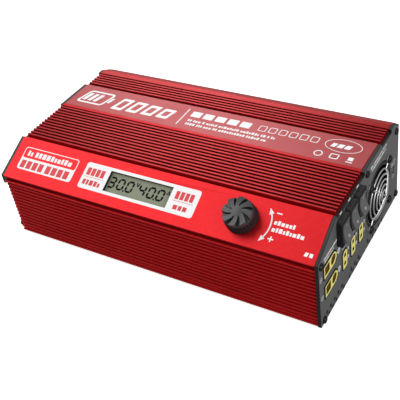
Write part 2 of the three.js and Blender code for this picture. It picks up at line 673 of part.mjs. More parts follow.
/** A bus bar: flat strips in one plane with a contact standing in each socket cell. */
function busBar(side, plane) {
  const contacts = [];
  MAIN_SOCKET_PLACES.forEach(([y, z]) => {
    const radius = MAIN_SOCKET.cell - CONTACT_CLEARANCE;
    const tip = PLATE_OUTER - MAIN_SOCKET.recess;
    contacts.push(solid(discX(radius, plane, tip, 12).translate(0, y + (side * MAIN_SOCKET.spread) / 2, z)));
  });
  const row = AUX_Z + (side * AUX_SOCKET.spread) / 2;
  for (let i = 0; i < AUX_SOCKETS; i++) {
    const radius = AUX_SOCKET.cell - CONTACT_CLEARANCE;
    const tip = PLATE_OUTER - AUX_SOCKET.recess;
    contacts.push(solid(discX(radius, plane, tip, 10).translate(0, auxY(i), row)));
  }
  const [[firstY, high], [secondY, low]] = MAIN_SOCKET_PLACES;
  const column = (firstY + secondY) / 2 + (side * MAIN_SOCKET.spread) / 2;
  const bottom = Math.min(low, row) - 2.5;
  const strips = [
    box([plane, plane + 1.5], [column - 3, column + 3], [bottom, high + 2.5]),
    box([plane, plane + 1.5], [column - 3, auxY(AUX_SOCKETS - 1) + 3], [row - 2, row + 2]),
  ];
  return join(...strips.map(solid), ...contacts);
}

housing.add(
  piece("bus_bar_positive", busBar(1, HALF - 20), goldPlate),
  piece("bus_bar_negative", busBar(-1, HALF - 24), goldPlate),
);

// ---------------------------------------------------------------- charging port and mains inlet

function usbPort() {
  const shell = box([-USB.depth, 0.3], [-USB.width / 2, USB.width / 2], [-USB.height / 2, USB.height / 2]);
  const mouth = box([-USB.depth + 2, 1], [-USB.width / 2 + 0.4, USB.width / 2 - 0.4],
    [-USB.height / 2 + 0.4, USB.height / 2 - 0.4]);
  const tongue = box([-USB.depth + 1, -1.5], [0.2, 1.9], [-USB.height / 2 + 1.2, USB.height / 2 - 1.2]);
  return join(cut(solid(shell), solid(mouth)), solid(tongue));
}
housing.add(piece("usb_socket", usbPort(), steel, PLATE_OUTER, USB.y, USB.z));

function mainsInlet() {
  const wall = 1.5;
  const flange = alongX(outline(cornered(0, 0, 48, INLET.height + 6, [4, 4, 4, 4])), SEAT, 2.6);
  const body = alongX(outline(cornered(0, 0, INLET.width + 2 * wall, INLET.height + 2 * wall, [0, 0, 4, 4])),
    -INLET.depth, SEAT + 0.5);
  const well = alongX(outline(cornered(0, 0, INLET.width, INLET.height, [0, 0, 3.4, 3.4])),
    -INLET.depth + 2, 4);
  const pins = [[-7, -1.2], [0, 2.6], [7, -1.2]].map(([y, z]) =>
    solid(box([-INLET.depth - 6, -4.8], [y - 1, y + 1], [z - 2, z + 2])));
  const ears = [-20, 20].map((dy) => solid(discX(1.8, -1, 4, 10).translate(0, dy, 0)));
  return cut(join(cut(join(solid(flange), solid(body)), solid(well)), ...pins), ...ears);
}
const inlet = piece("mains_inlet", mainsInlet(), blackPlastic, -PLATE_OUTER, INLET.y, INLET.z);
inlet.rotation.z = Math.PI;
housing.add(inlet);

// ---------------------------------------------------------------- display and control knob

housing.add(displayFace);

const LCD = { thickness: 3, margin: 2 };
const BOARD_LEVEL = -WALL - LCD.thickness - 3;

function lcdBezel() {
  const { x, y, width, height } = DISPLAY;
  const rim = rectangle(x, y, width + 2 * BEZEL_WALL, height + 2 * BEZEL_WALL);
  return alongZ(outline(rim, [rectangle(x, y, width, height)]), -WALL, -0.05);
}

function displayBoard() {
  const left = DISPLAY.x - DISPLAY.width / 2 - 14;
  const right = KNOB.x + 14;
  const hole = circle(KNOB.x, KNOB.y, SHAFT_RADIUS + 1, 14);
  const shape = outline(rectangle((left + right) / 2, 18, right - left, 21), [hole]);
  return alongZ(shape, BOARD_LEVEL - BOARD, BOARD_LEVEL);
}

function knob() {
  const { radius, height } = KNOB;
  const bore = SHAFT_RADIUS + 0.15;
  return turned([
    [bore, 0.6], [radius * 0.95, 0.6], [radius, 1.6], [radius, height - 3], [radius - 1.2, height - 0.6],
    [radius - 2.4, height], [0, height], [0, height - 3], [bore, height - 3], [bore, 0.6],
  ], 32);
}

function potentiometer() {
  const shape = outline(rectangle(0, 0, 16, 16), [circle(0, 0, SHAFT_RADIUS + RUN, 14)]);
  const top = BOARD_LEVEL - BOARD - SEAT;
  return alongZ(shape, top - 9, top);
}

const lcdTop = -WALL - SEAT;
const lcdPanel = box(
  [DISPLAY.x - DISPLAY.width / 2 - LCD.margin, DISPLAY.x + DISPLAY.width / 2 + LCD.margin],
  [DISPLAY.y - DISPLAY.height / 2 - LCD.margin, DISPLAY.y + DISPLAY.height / 2 + LCD.margin],
  [lcdTop - LCD.thickness, lcdTop],
);
const shaftBottom = BOARD_LEVEL - BOARD - 8;
const shaft = turned([
  [0, shaftBottom], [SHAFT_RADIUS, shaftBottom], [SHAFT_RADIUS, KNOB.height - 3.3], [0, KNOB.height - 3.3],
], 14);
displayFace.add(
  piece("lcd_panel", lcdPanel, glassPanel),
  piece("lcd_bezel", lcdBezel(), blackPlastic),
  piece("display_board", displayBoard(), greenBoard),
  piece("control_knob", knob(), blackPlastic, KNOB.x, KNOB.y, 0),
  piece("knob_shaft", shaft, steel, KNOB.x, KNOB.y, 0),
  piece("potentiometer", potentiometer(), steel, KNOB.x, KNOB.y, 0),
);

// ---------------------------------------------------------------- main board and what stands on it

const boardEnd = HALF - 27;
const boardTop = BOARD_HEIGHT + BOARD;
const onBoard = boardTop + 0.3;
const mainBoard = box(
  [-HALF + 7, boardEnd],
  [FRONT_INNER + FIT, BACK_INNER - FIT],
  [BOARD_HEIGHT, boardTop],
);

/** A finned heatsink standing on the board, fins towards +Y. */
function heatsink(length, height) {
  const points = [[0, 0], [0, height], [3, height]];
  const steps = Math.floor((height - 2) / 5);
  for (let i = steps - 1; i >= 0; i--) {
    const z = 1 + i * 5;
    points.push([3, z + 1.5], [11, z + 1.5], [11, z], [3, z]);
  }
  points.push([3, 0]);
  return alongX(outline(points), -length / 2, length / 2);
}

/** A wound ring lying on the board. */
function woundRing(outer, inner, height) {
  return turned([
    [inner, 2], [inner + 2, 0], [outer - 2, 0], [outer, 2],
    [outer, height - 2], [outer - 2, height], [inner + 2, height], [inner, height - 2], [inner, 2],
  ], 20);
}

/** A can with a slightly domed shoulder, standing up. */
const can = (radius, height) =>
  turned([[0, 0], [radius, 0], [radius, height - 1], [radius - 1, height], [0, height]], 20);

function transformer() {
  const core = box([-24, 24], [-16, 16], [4, 38]);
  const winding = box([-17, 17], [-21, 21], [8, 34]);
  const base = box([-20, 20], [-19, 19], [0, 5]);
  return join(solid(core), solid(winding), solid(base));
}

const rearRow = BACK - 40;
const frontRow = FRONT_INNER + 38;
housing.add(
  piece("main_board", mainBoard, greenBoard),
  piece("transformer", transformer(), tapeYellow, 26, rearRow - 24, onBoard),
  piece("pfc_choke", woundRing(19, 8, 18), copperWire, -50, frontRow - 8, onBoard),
  piece("emi_choke", woundRing(13, 5, 14), copperWire, -HALF + 30, frontRow - 14, onBoard),
  piece("output_inductor", woundRing(17, 7, 18), copperWire, 40, frontRow - 14, onBoard),
  piece("bulk_capacitor_1", can(14, 34), sleeveBlue, -66, rearRow, onBoard),
  piece("bulk_capacitor_2", can(14, 34), sleeveBlue, -34, rearRow, onBoard),
  piece("output_capacitor_1", can(8, 26), sleeveBlue, 70, frontRow - 16, onBoard),
  piece("output_capacitor_2", can(8, 26), sleeveBlue, 70, frontRow + 4, onBoard),
  piece("primary_heatsink", heatsink(70, 36), bareAluminium, -52, rearRow - 38, onBoard),
  piece("secondary_heatsink", heatsink(70, 36), bareAluminium, 44, rearRow + 8, onBoard),
  piece("bridge_rectifier", box([-14, 14], [-4.6, -0.3], [2, 22]), blackPlastic, -72, rearRow - 38, onBoard),
  piece("fuse", box([-3, 3], [-12, 12], [0.2, 8]), blackPlastic, -HALF + 22, frontRow + 26, onBoard),
);

// ---------------------------------------------------------------- feet

let feet = 0;
for (const side of [-1, 1]) {
  for (const y of [FOOT_INSET, BACK - FOOT_INSET]) {
    feet += 1;
    const foot = turned([
      [0, -FOOT_HEIGHT], [FOOT_RADIUS - 0.8, -FOOT_HEIGHT], [FOOT_RADIUS, -FOOT_HEIGHT + 0.8],
      [FOOT_RADIUS, -SEAT], [0, -SEAT],
    ], 20);
    housing.add(piece(`foot_${feet}`, foot, rubber, side * (HALF - FOOT_INSET), y, 0));
  }
}

// ---------------------------------------------------------------- origin at the middle of the base

const object = new THREE.Group();
object.add(housing);
object.updateMatrixWorld(true);
const bounds = new THREE.Box3().setFromObject(object, true);
const middle = bounds.getCenter(new THREE.Vector3());
housing.position.set(-middle.x, -middle.y, -bounds.min.z);

export default object;
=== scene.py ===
"""A bench power supply in a finned red housing, dressed for a studio picture.

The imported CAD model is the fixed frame. This script gives its nodes their finishes, replaces the ones that
need a finer surface, adds the printed marks, and sets up the floor, the light and the camera.
"""

from __future__ import annotations

import json
import logging
import math
import random
from dataclasses import dataclass, field, replace
from enum import Enum
from typing import Callable, Iterable, Sequence

import bmesh
import bpy
from mathutils import Euler, Matrix, Vector


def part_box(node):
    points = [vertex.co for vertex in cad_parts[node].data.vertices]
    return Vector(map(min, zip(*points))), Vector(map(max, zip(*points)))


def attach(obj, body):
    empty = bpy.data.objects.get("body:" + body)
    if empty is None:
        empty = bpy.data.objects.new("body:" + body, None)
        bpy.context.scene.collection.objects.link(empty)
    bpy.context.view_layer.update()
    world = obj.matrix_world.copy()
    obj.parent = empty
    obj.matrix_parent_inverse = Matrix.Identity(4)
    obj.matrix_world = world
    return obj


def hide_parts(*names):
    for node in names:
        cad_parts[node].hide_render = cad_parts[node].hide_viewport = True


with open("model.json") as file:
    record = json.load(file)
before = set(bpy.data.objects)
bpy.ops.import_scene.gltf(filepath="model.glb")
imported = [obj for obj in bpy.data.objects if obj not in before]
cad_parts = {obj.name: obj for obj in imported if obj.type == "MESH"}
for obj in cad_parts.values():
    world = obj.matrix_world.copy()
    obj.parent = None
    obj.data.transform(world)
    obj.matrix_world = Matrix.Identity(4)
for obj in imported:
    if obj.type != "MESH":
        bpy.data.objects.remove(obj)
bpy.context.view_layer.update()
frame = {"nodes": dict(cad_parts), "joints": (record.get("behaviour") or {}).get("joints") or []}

logging.basicConfig(level=logging.INFO, format="%(message)s")
log = logging.getLogger("power_supply")

MM = 0.001
AXIS_X, AXIS_Y, AXIS_Z = Vector((1, 0, 0)), Vector((0, 1, 0)), Vector((0, 0, 1))
INK_LIFT = 0.02
INK_DEPTH = 0.06
SECOND_COAT = 0.07
CORNER_STEPS = 4
ARC_STEPS = 16
POLE = 0.01
MIX_FACTOR, MIX_A, MIX_B, MIX_COLOUR = 0, 6, 7, 2
Loop = list[tuple[float, float]]


def even_turns(count: int) -> list[float]:
    """Even angles round a full circle, in radians."""
    return [2 * math.pi * i / count for i in range(count)]


# ------------------------------------------------------------------ places


@dataclass(frozen=True)
class Plane:
    """A flat working face: a point on it, two directions in it and its outward normal."""

    origin: Vector
    u: Vector
    v: Vector

    @property
    def n(self) -> Vector:
        """Outward normal."""
        return self.u.cross(self.v)

    def matrix(self) -> Matrix:
        """Transform from (u, v, out) to the row frame."""
        turn = Matrix((self.u, self.v, self.n)).transposed().to_4x4()
        return Matrix.Translation(self.origin) @ turn

    def at(self, u: float, v: float, out: float = 0.0) -> Vector:
        """Point in the row frame.

        Args:
            u: Distance along the first direction, in millimetres.
            v: Distance along the second direction, in millimetres.
            out: Distance off the face, in millimetres.

        Returns:
            The point in metres.
        """
        return self.origin + (self.u * u + self.v * v + self.n * out) * MM

    def lifted(self, out: float) -> Plane:
        """The same face, moved out along its normal by a number of millimetres."""
        return Plane(self.at(0, 0, out), self.u, self.v)

    def over(self, spot: Vector) -> Plane:
        """The same face of an upright plate, with its origin in front of a point."""
        return Plane(Vector((self.origin.x, spot.y, spot.z)), self.u, self.v)


def middle_of(node: str) -> Vector:
    """Middle of a CAD node's box."""
    low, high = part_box(node)
    return (low + high) / 2


def joint(name: str) -> dict:
    """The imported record's joint of that name."""
    return next(j for j in frame["joints"] if j["name"] == name)


class Housing:
    """The housing's own datum faces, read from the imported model."""

    wall: float = 2.4
    face_rise: float = 15.5
    plate: float = 2.5

    def __init__(self) -> None:
        """Measures the shells and both end plates."""
        low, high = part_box("top_shell")
        plate_low, plate_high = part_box("right_end_plate")
        base_low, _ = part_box("bottom_shell")
        middle = (low.x + high.x) / 2
        normal = Vector(joint("knob_turn")["axis"]).normalized()
        nose = Vector((middle, low.y, high.z - self.face_rise * MM))
        self.face = Plane(nose, AXIS_X, normal.cross(AXIS_X))
        self.top = Plane(Vector((middle, low.y, high.z)), AXIS_X, AXIS_Y)
        end = Vector((plate_high.x, low.y, base_low.z))
        self.end = Plane(end, AXIS_Y, AXIS_Z)
        left_low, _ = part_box("left_end_plate")
        far = Vector((left_low.x, low.y, base_low.z))
        self.far_end = Plane(far, -AXIS_Y, AXIS_Z)


# ------------------------------------------------------------------ meshes


def link(obj: bpy.types.Object) -> bpy.types.Object:
    """Puts an object in the scene and returns it."""
    bpy.context.scene.collection.objects.link(obj)
    return obj


def mesh_object(
    name: str, verts: Sequence[Sequence[float]], faces: Sequence[Sequence[int]], smooth: bool = True
) -> bpy.types.Object:
    """Makes a mesh object with outward normals.

    Args:
        name: The piece's name.
        verts: Points in metres.
        faces: Corner indices of each face.
        smooth: Whether the faces are shaded smooth.

    Returns:
        The new object, at the origin.
    """
    mesh = bpy.data.meshes.new(name)
    mesh.from_pydata([tuple(v) for v in verts], [], [tuple(f) for f in faces])
    edit = bmesh.new()
    edit.from_mesh(mesh)
    bmesh.ops.remove_doubles(edit, verts=edit.verts, dist=1e-7)
    bmesh.ops.recalc_face_normals(edit, faces=edit.faces)
    edit.to_mesh(mesh)
    edit.free()
    mesh.polygons.foreach_set("use_smooth", [smooth] * len(mesh.polygons))
    return link(bpy.data.objects.new(name, mesh))


def settle(obj: bpy.types.Object, matrix: Matrix | None = None) -> bpy.types.Object:
    """Applies an object's modifiers and its place, leaving a plain mesh at the origin.

    Args:
        obj: A mesh or curve object, which is removed.
        matrix: An extra transform, after the object's own.

    Returns:
        The plain mesh object, with the same name.
    """
    bpy.context.view_layer.update()
    graph = bpy.context.evaluated_depsgraph_get()
    mesh = bpy.data.meshes.new_from_object(obj.evaluated_get(graph), depsgraph=graph)
    mesh.transform((matrix or Matrix()) @ obj.matrix_world)
    name = obj.name
    bpy.data.objects.remove(obj)
    mesh.name = name
    return link(bpy.data.objects.new(name, mesh))


def add_bevel(obj: bpy.types.Object, width: float, segments: int, angle: float) -> bpy.types.Modifier:
    """Adds a bevel, its width in millimetres, on the edges sharper than an angle in degrees."""
    edge = obj.modifiers.new("edge", "BEVEL")
    edge.width = width * MM
    edge.segments = segments
    edge.limit_method = "ANGLE"
    edge.angle_limit = math.radians(angle)
    return edge


def bevelled(obj: bpy.types.Object, width: float, segments: int = 2, angle: float = 40) -> bpy.types.Object:
    """Rounds an object's sharp edges and settles it.

    Args:
        obj: The mesh object.
        width: Bevel width in millimetres.
        segments: Steps across the round.
        angle: Edges sharper than this, in degrees, are rounded.

    Returns:
        The settled object.
    """
    add_bevel(obj, width, segments, angle).harden_normals = True
    obj.data.polygons.foreach_set("use_smooth", [True] * len(obj.data.polygons))
    return settle(obj)


def soften_node(name: str, width: float, segments: int = 2) -> None:
    """Welds a CAD node's loose triangles and rounds its edges by modifiers, leaving its mesh as it is."""
    obj = frame["nodes"][name]
    weld = obj.modifiers.new("weld", "WELD")
    weld.merge_threshold = 1e-6
    add_bevel(obj, width, segments, 35).use_clamp_overlap = True


def prism(name: str, outline: Loop, plane: Plane, low: float, high: float) -> bpy.types.Object:
    """A straight block over a closed outline on a plane.

    Args:
        name: The piece's name.
        outline: (u, v) corners in millimetres.
        plane: The plane the outline lies on.
        low: Where the block starts, out from the plane, in millimetres.
        high: Where it ends.

    Returns:
        The block.
    """
    count = len(outline)
    verts = [plane.at(u, v, out) for out in (low, high) for u, v in outline]
    faces: list[Sequence[int]] = [list(range(count))[::-1], list(range(count, 2 * count))]
    faces += [(i, (i + 1) % count, (i + 1) % count + count, i + count) for i in range(count)]
    return mesh_object(name, verts, faces, smooth=False)


def rings(name: str, loops: Sequence[Sequence[Vector]]) -> bpy.types.Object:
    """Joins loops of equal length into one skin, closed at both ends.

    Args:
        name: The piece's name.
        loops: Loops of points, in order.

    Returns:
        The closed object.
    """
    size = len(loops[0])
    verts = [p for loop in loops for p in loop]
    faces: list[Sequence[int]] = []
    for row in range(len(loops) - 1):
        base = row * size
        faces += [
            (base + i, base + (i + 1) % size, base + size + (i + 1) % size, base + size + i)
            for i in range(size)
        ]
    faces += [list(range(size))[::-1], list(range(len(verts) - size, len(verts)))]
    return mesh_object(name, verts, faces)


def circle(plane: Plane, radius: float, out: float, sides: int) -> list[Vector]:
    """Points round a plane's normal, at a radius and a height in millimetres."""
    return [plane.at(radius * math.cos(t), radius * math.sin(t), out) for t in even_turns(sides)]


def turned(name: str, profile: Iterable[tuple[float, float]], plane: Plane, sides: int) -> bpy.types.Object:
    """Turns a (radius, height) profile about a plane's normal through its origin, in millimetres."""
    return rings(name, [circle(plane, radius, out, sides) for radius, out in profile])


def joined(name: str, pieces: Sequence[bpy.types.Object]) -> bpy.types.Object:
    """Joins several mesh objects that share one finish into one piece."""
    edit = bmesh.new()
    for obj in pieces:
        edit.from_mesh(obj.data)
    mesh = bpy.data.meshes.new(name)
    edit.to_mesh(mesh)
    edit.free()
    mesh.materials.clear()
    for obj in pieces:
        bpy.data.objects.remove(obj)
    return link(bpy.data.objects.new(name, mesh))


# ------------------------------------------------------------------ flat outlines


def turned_loop(loop: Iterable[tuple[float, float]], degrees: float, u: float = 0, v: float = 0) -> Loop:
    """A loop turned about the origin and then moved to (u, v)."""
    c, s = math.cos(math.radians(degrees)), math.sin(math.radians(degrees))
    return [(u + x * c - y * s, v + x * s + y * c) for x, y in loop]


def round_box(u: float, v: float, width: float, height: float, radius: float = 0, slant: float = 0) -> Loop:
    """A rectangle with round corners, leaning by slant times its height."""
    if radius <= 0:
        corners = [(-1, -1), (1, -1), (1, 1), (-1, 1)]
        points = [(a * width / 2, b * height / 2) for a, b in corners]
    else:
        points = []
        for quarter, (a, b) in enumerate([(1, 1), (-1, 1), (-1, -1), (1, -1)]):
            for step in range(CORNER_STEPS + 1):
                turn = math.pi / 2 * (quarter + step / CORNER_STEPS)
                across = a * (width / 2 - radius) + radius * math.cos(turn)
                up = b * (height / 2 - radius) + radius * math.sin(turn)
                points.append((across, up))
    return [(u + x + slant * y, v + y) for x, y in points]


def outlined(
    u: float, v: float, outer: Sequence[float], inner: Sequence[float], slant: float = 0
) -> list[Loop]:
    """A box with a hole, each given by its width, height and corner radius."""
    return [round_box(u, v, *size, slant=slant) for size in (outer, inner)]


def cornered_box(width: float, height: float, cuts: Sequence[float]) -> Loop:
    """A rectangle whose corners are cut at 45 degrees, from bottom left round to top left."""
    points: Loop = []
    for i, (a, b) in enumerate([(-1, -1), (1, -1), (1, 1), (-1, 1)]):
        corner = (a * width / 2, b * height / 2)
        beside = (corner[0] - a * cuts[i], corner[1])
        above = (corner[0], corner[1] - b * cuts[i])
        cut = [above, beside] if i % 2 == 0 else [beside, above]
        points += cut if cuts[i] else [corner]
    return points


def disc(u: float, v: float, radius: float, sides: int = 28, squash: float = 1) -> Loop:
    """A circle, or an ellipse where squash is not 1."""
    return [(u + radius * math.cos(t), v + radius * squash * math.sin(t)) for t in even_turns(sides)]


def arc_band(u: float, v: float, radius: float, width: float, start: float, end: float) -> Loop:
    """A strip along an arc, angles in degrees."""
    turns = [math.radians(start + (end - start) * i / ARC_STEPS) for i in range(ARC_STEPS + 1)]
    outer, inner = radius + width / 2, radius - width / 2
    there = [(u + outer * math.cos(t), v + outer * math.sin(t)) for t in turns]
    back = [(u + inner * math.cos(t), v + inner * math.sin(t)) for t in reversed(turns)]
    return there + back


def plus_sign(u: float, v: float, size: float, stroke: float) -> Loop:
    """A plus sign as one outline."""
    a, b = size / 2, stroke / 2
    arm = [(a, -b), (a, b), (b, b)]
    return [spot for quarter in range(4) for spot in turned_loop(arm, 90 * quarter, u, v)]


def blocks(u: float, v: float, width: float, height: float, seed: int, slant: float = 0.0) -> list[Loop]:
    """A row of plain blocks that stands where a line of print would be.

    Args:
        u: Where the row starts.
        v: Its middle height.
        width: Its length.
        height: Its height.
        seed: Fixes the block widths.
        slant: Lean of the blocks.

    Returns:
        One loop for each block.
    """
    draw = random.Random(seed)
    out: list[Loop] = []
    x = 0.0
    while x < width - 0.3 * height:
        wide = min(height * draw.choice((0.45, 0.6, 0.75)), width - x)
        tall = height * draw.choice((0.78, 1.0, 1.0))
        out.append(round_box(u + x + wide / 2, v - (height - tall) / 2, wide, tall, 0, slant))
        x += wide + height * (0.22 if draw.random() < 0.8 else 0.6)
    return out


class Segment(Enum):
    """The seven strokes of a display digit: where each one's middle is, and whether it stands."""

    TOP = (0, 1, False)
    UPPER_RIGHT = (1, 0.5, True)
    LOWER_RIGHT = (1, -0.5, True)
    BOTTOM = (0, -1, False)
    LOWER_LEFT = (-1, -0.5, True)
    UPPER_LEFT = (-1, 0.5, True)
    MIDDLE = (0, 0, False)


DIGITS = {
    "0": [s for s in Segment if s is not Segment.MIDDLE],
    "3": [Segment.TOP, Segment.UPPER_RIGHT, Segment.LOWER_RIGHT, Segment.BOTTOM, Segment.MIDDLE],
    "4": [Segment.UPPER_LEFT, Segment.UPPER_RIGHT, Segment.LOWER_RIGHT, Segment.MIDDLE],
}


def digit(name: str, u: float, v: float, width: float, height: float, stroke: float) -> list[Loop]:
    """The strokes of one display digit, centred on (u, v)."""
    lean, gap = 0.08, 0.12
    loops = []
    for segment in DIGITS[name]:
        across, up, stands = segment.value
        cu, cv = across * (width - stroke) / 2, up * (height - stroke) / 2
        reach = ((height - stroke) / 2 if stands else width - stroke) / 2 - gap
        half = stroke / 2
        inset = reach - half
        bar = [(-reach, 0), (-inset, half), (inset, half), (reach, 0), (inset, -half), (-inset, -half)]
        spot = turned_loop(bar, 90 if stands else 0, cu, cv)
        loops.append([(u + x + lean * y, v + y) for x, y in spot])
    return loops


def slab(name: str, loops: Sequence[Loop], plane: Plane, low: float, high: float) -> bpy.types.Object:
    """A flat block over closed outlines; loops inside loops become holes.

    Args:
        name: The piece's name.
        loops: Closed outlines in millimetres.
        plane: The plane the outlines lie on.
        low: Where the block starts, out from the plane, in millimetres.
        high: Where it ends.

    Returns:
        The block as one mesh.
    """
    curve = bpy.data.curves.new(name, "CURVE")
    curve.dimensions = "2D"
    curve.fill_mode = "BOTH"
    curve.extrude = (high - low) / 2 * MM
    for loop in loops:
        spline = curve.splines.new("POLY")
        spline.points.add(len(loop) - 1)
        for point, (u, v) in zip(spline.points, loop):
            point.co = (u * MM, v * MM, 0, 1)
        spline.use_cyclic_u = True
    obj = link(bpy.data.objects.new(name, curve))
    return settle(obj, plane.matrix() @ Matrix.Translation((0, 0, (low + high) / 2 * MM)))


def printed(
    name: str,
    loops: Sequence[Loop],
    plane: Plane,
    finish: Finish,
    lift: float = INK_LIFT,
    body: str = "housing",
) -> bpy.types.Object:
    """Lays thin ink on a plane.

    Args:
        name: The piece's name.
        loops: Closed outlines in millimetres.
        plane: The face that carries the ink.
        finish: The ink's finish.
        lift: Gap under the ink, in millimetres.
        body: The body that it rides on.

    Returns:
        The ink as one mesh.
    """
    return dress(slab(name, loops, plane, lift, lift + INK_DEPTH), finish, body)


def dress(
    obj: bpy.types.Object,
    finish: Finish,
    body: str = "housing",
    stands_for: Sequence[str] = (),
) -> bpy.types.Object:
    """Gives a piece its finish and its body.

    Args:
        obj: The finished piece.
        finish: Its finish.
        body: The CAD body it rides on.
        stands_for: CAD nodes that it replaces.

    Returns:
        The same object.
    """
    obj.data.materials.clear()
    obj.data.materials.append(finish_of(finish))
    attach(obj, body)
    if stands_for:
        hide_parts(*stands_for)
    log.info("piece %-24s %6d faces on %s", obj.name, len(obj.data.polygons), body)
    return obj


# ------------------------------------------------------------------ node trees


class Graph:
    """Adds and joins nodes in one node tree."""

    def __init__(self, tree: bpy.types.NodeTree) -> None:
        """Works on an existing tree."""
        self.tree = tree

    def add(self, kind: str, **settings: object) -> bpy.types.Node:
        """Adds a node and sets its own properties."""
        node = self.tree.nodes.new(kind)
        for key, value in settings.items():
            setattr(node, key, value)
        return node

    def join(self, source: bpy.types.NodeSocket, target: bpy.types.NodeSocket) -> None:
        """Links an output to an input."""
        self.tree.links.new(source, target)

    def wire(self, source: bpy.types.Node, out: str | int, target: bpy.types.Node, into: str | int) -> None:
        """Links one node's output to another's input, each by name or number."""
        self.join(source.outputs[out], target.inputs[into])

    def dimmed(self, colour: bpy.types.NodeSocket, factor: bpy.types.NodeSocket) -> bpy.types.NodeSocket:
        """Multiplies a colour by a factor; returns the output."""
        mix = self.add("ShaderNodeMix", data_type="RGBA", blend_type="MULTIPLY")
        mix.inputs[MIX_FACTOR].default_value = 1.0
        self.join(colour, mix.inputs[MIX_A])
        self.join(factor, mix.inputs[MIX_B])
        return mix.outputs[MIX_COLOUR]

    def value(self, operation: str, a: object, b: object = 0.0) -> bpy.types.NodeSocket:
        """A math node on two sockets or numbers; returns its output."""
        node = self.add("ShaderNodeMath", operation=operation)
        for socket, given in zip(node.inputs, (a, b)):
            if isinstance(given, bpy.types.NodeSocket):
                self.join(given, socket)
            else:
                socket.default_value = given
        return node.outputs[0]

    def spread(self, source: bpy.types.NodeSocket, low: float, high: float) -> bpy.types.NodeSocket:
        """Maps 0..1 to low..high; returns the output."""
        node = self.add("ShaderNodeMapRange")
        fill(node, {"To Min": low, "To Max": high})
        self.join(source, node.inputs["Value"])
        return node.outputs["Result"]


def fill(node: bpy.types.Node, values: dict[str | int, object]) -> None:
    """Sets the unlinked values of a node's inputs."""
    for name, value in values.items():
        node.inputs[name].default_value = value


def group_sockets(tree: bpy.types.NodeTree, inputs: dict[str, float], outputs: Sequence[str]) -> None:
    """Gives a shader group its float inputs and outputs."""
    for name, default in inputs.items():
        socket = tree.interface.new_socket(name=name, in_out="INPUT", socket_type="NodeSocketFloat")
        socket.default_value = default
    for name in outputs:
        tree.interface.new_socket(name=name, in_out="OUTPUT", socket_type="NodeSocketFloat")


def die_line_group() -> bpy.types.NodeTree:
    """Fine lines that an extrusion die leaves along X, over a soft cloudiness."""
    tree = bpy.data.node_groups.new("die_lines", "ShaderNodeTree")
    group_sockets(tree, {"Line Scale": 2600.0, "Cloud Scale": 28.0}, ("Lines", "Clouds"))
    g = Graph(tree)
    inside, outside = g.add("NodeGroupInput"), g.add("NodeGroupOutput")
    coords = g.add("ShaderNodeTexCoord")
    stretch = g.add("ShaderNodeMapping")
    stretch.inputs["Scale"].default_value = (0.012, 1, 1)
    lines = g.add("ShaderNodeTexNoise")
    lines.inputs["Detail"].default_value = 3
    clouds = g.add("ShaderNodeTexNoise")
    clouds.inputs["Detail"].default_value = 4
    g.wire(coords, "Object", stretch, "Vector")
    g.wire(stretch, "Vector", lines, "Vector")
    g.wire(coords, "Object", clouds, "Vector")
    g.wire(inside, "Line Scale", lines, "Scale")
    g.wire(inside, "Cloud Scale", clouds, "Scale")
    g.wire(lines, "Fac", outside, "Lines")
    g.wire(clouds, "Fac", outside, "Clouds")
    return tree


def grain_group() -> bpy.types.NodeTree:
    """Fine pebbled grain with larger uneven patches, for paint and moulded plastic."""
    tree = bpy.data.node_groups.new("surface_grain", "ShaderNodeTree")
    group_sockets(tree, {"Grain Scale": 2200.0, "Patch Scale": 60.0}, ("Grain", "Patches"))
    g = Graph(tree)
    inside, outside = g.add("NodeGroupInput"), g.add("NodeGroupOutput")
    coords = g.add("ShaderNodeTexCoord")
    grain = g.add("ShaderNodeTexVoronoi", feature="SMOOTH_F1")
    patches = g.add("ShaderNodeTexNoise")
    patches.inputs["Detail"].default_value = 5
    for texture in (grain, patches):
        g.wire(coords, "Object", texture, "Vector")
    g.wire(inside, "Grain Scale", grain, "Scale")
    g.wire(inside, "Patch Scale", patches, "Scale")
    g.wire(grain, "Distance", outside, "Grain")
    g.wire(patches, "Fac", outside, "Patches")
    return tree


def dust_group() -> bpy.types.NodeTree:
    """A mask of light handling marks and dust that gathers on faces that look up."""
    tree = bpy.data.node_groups.new("light_dust", "ShaderNodeTree")
    group_sockets(tree, {"Scale": 350.0, "Amount": 0.2}, ("Dust",))
    g = Graph(tree)
    inside, outside = g.add("NodeGroupInput"), g.add("NodeGroupOutput")
    coords = g.add("ShaderNodeTexCoord")
    specks = g.add("ShaderNodeTexNoise")
    specks.inputs["Detail"].default_value = 6
    g.wire(coords, "Object", specks, "Vector")
    g.wire(inside, "Scale", specks, "Scale")
    split = g.add("ShaderNodeSeparateXYZ")
    g.wire(coords, "Normal", split, "Vector")
    upward = g.value("MAXIMUM", split.outputs["Z"], 0.0)
    sparse = g.value("POWER", specks.outputs["Fac"], 3.0)
    mask = g.value("MULTIPLY", g.value("MULTIPLY", upward, sparse), inside.outputs["Amount"])
    g.join(mask, outside.inputs["Dust"])
    return tree


DUST_COLOUR = (0.55, 0.52, 0.5, 1)
GROUPS = {"die_lines": die_line_group(), "surface_grain": grain_group(), "light_dust": dust_group()}


# ------------------------------------------------------------------ finishes


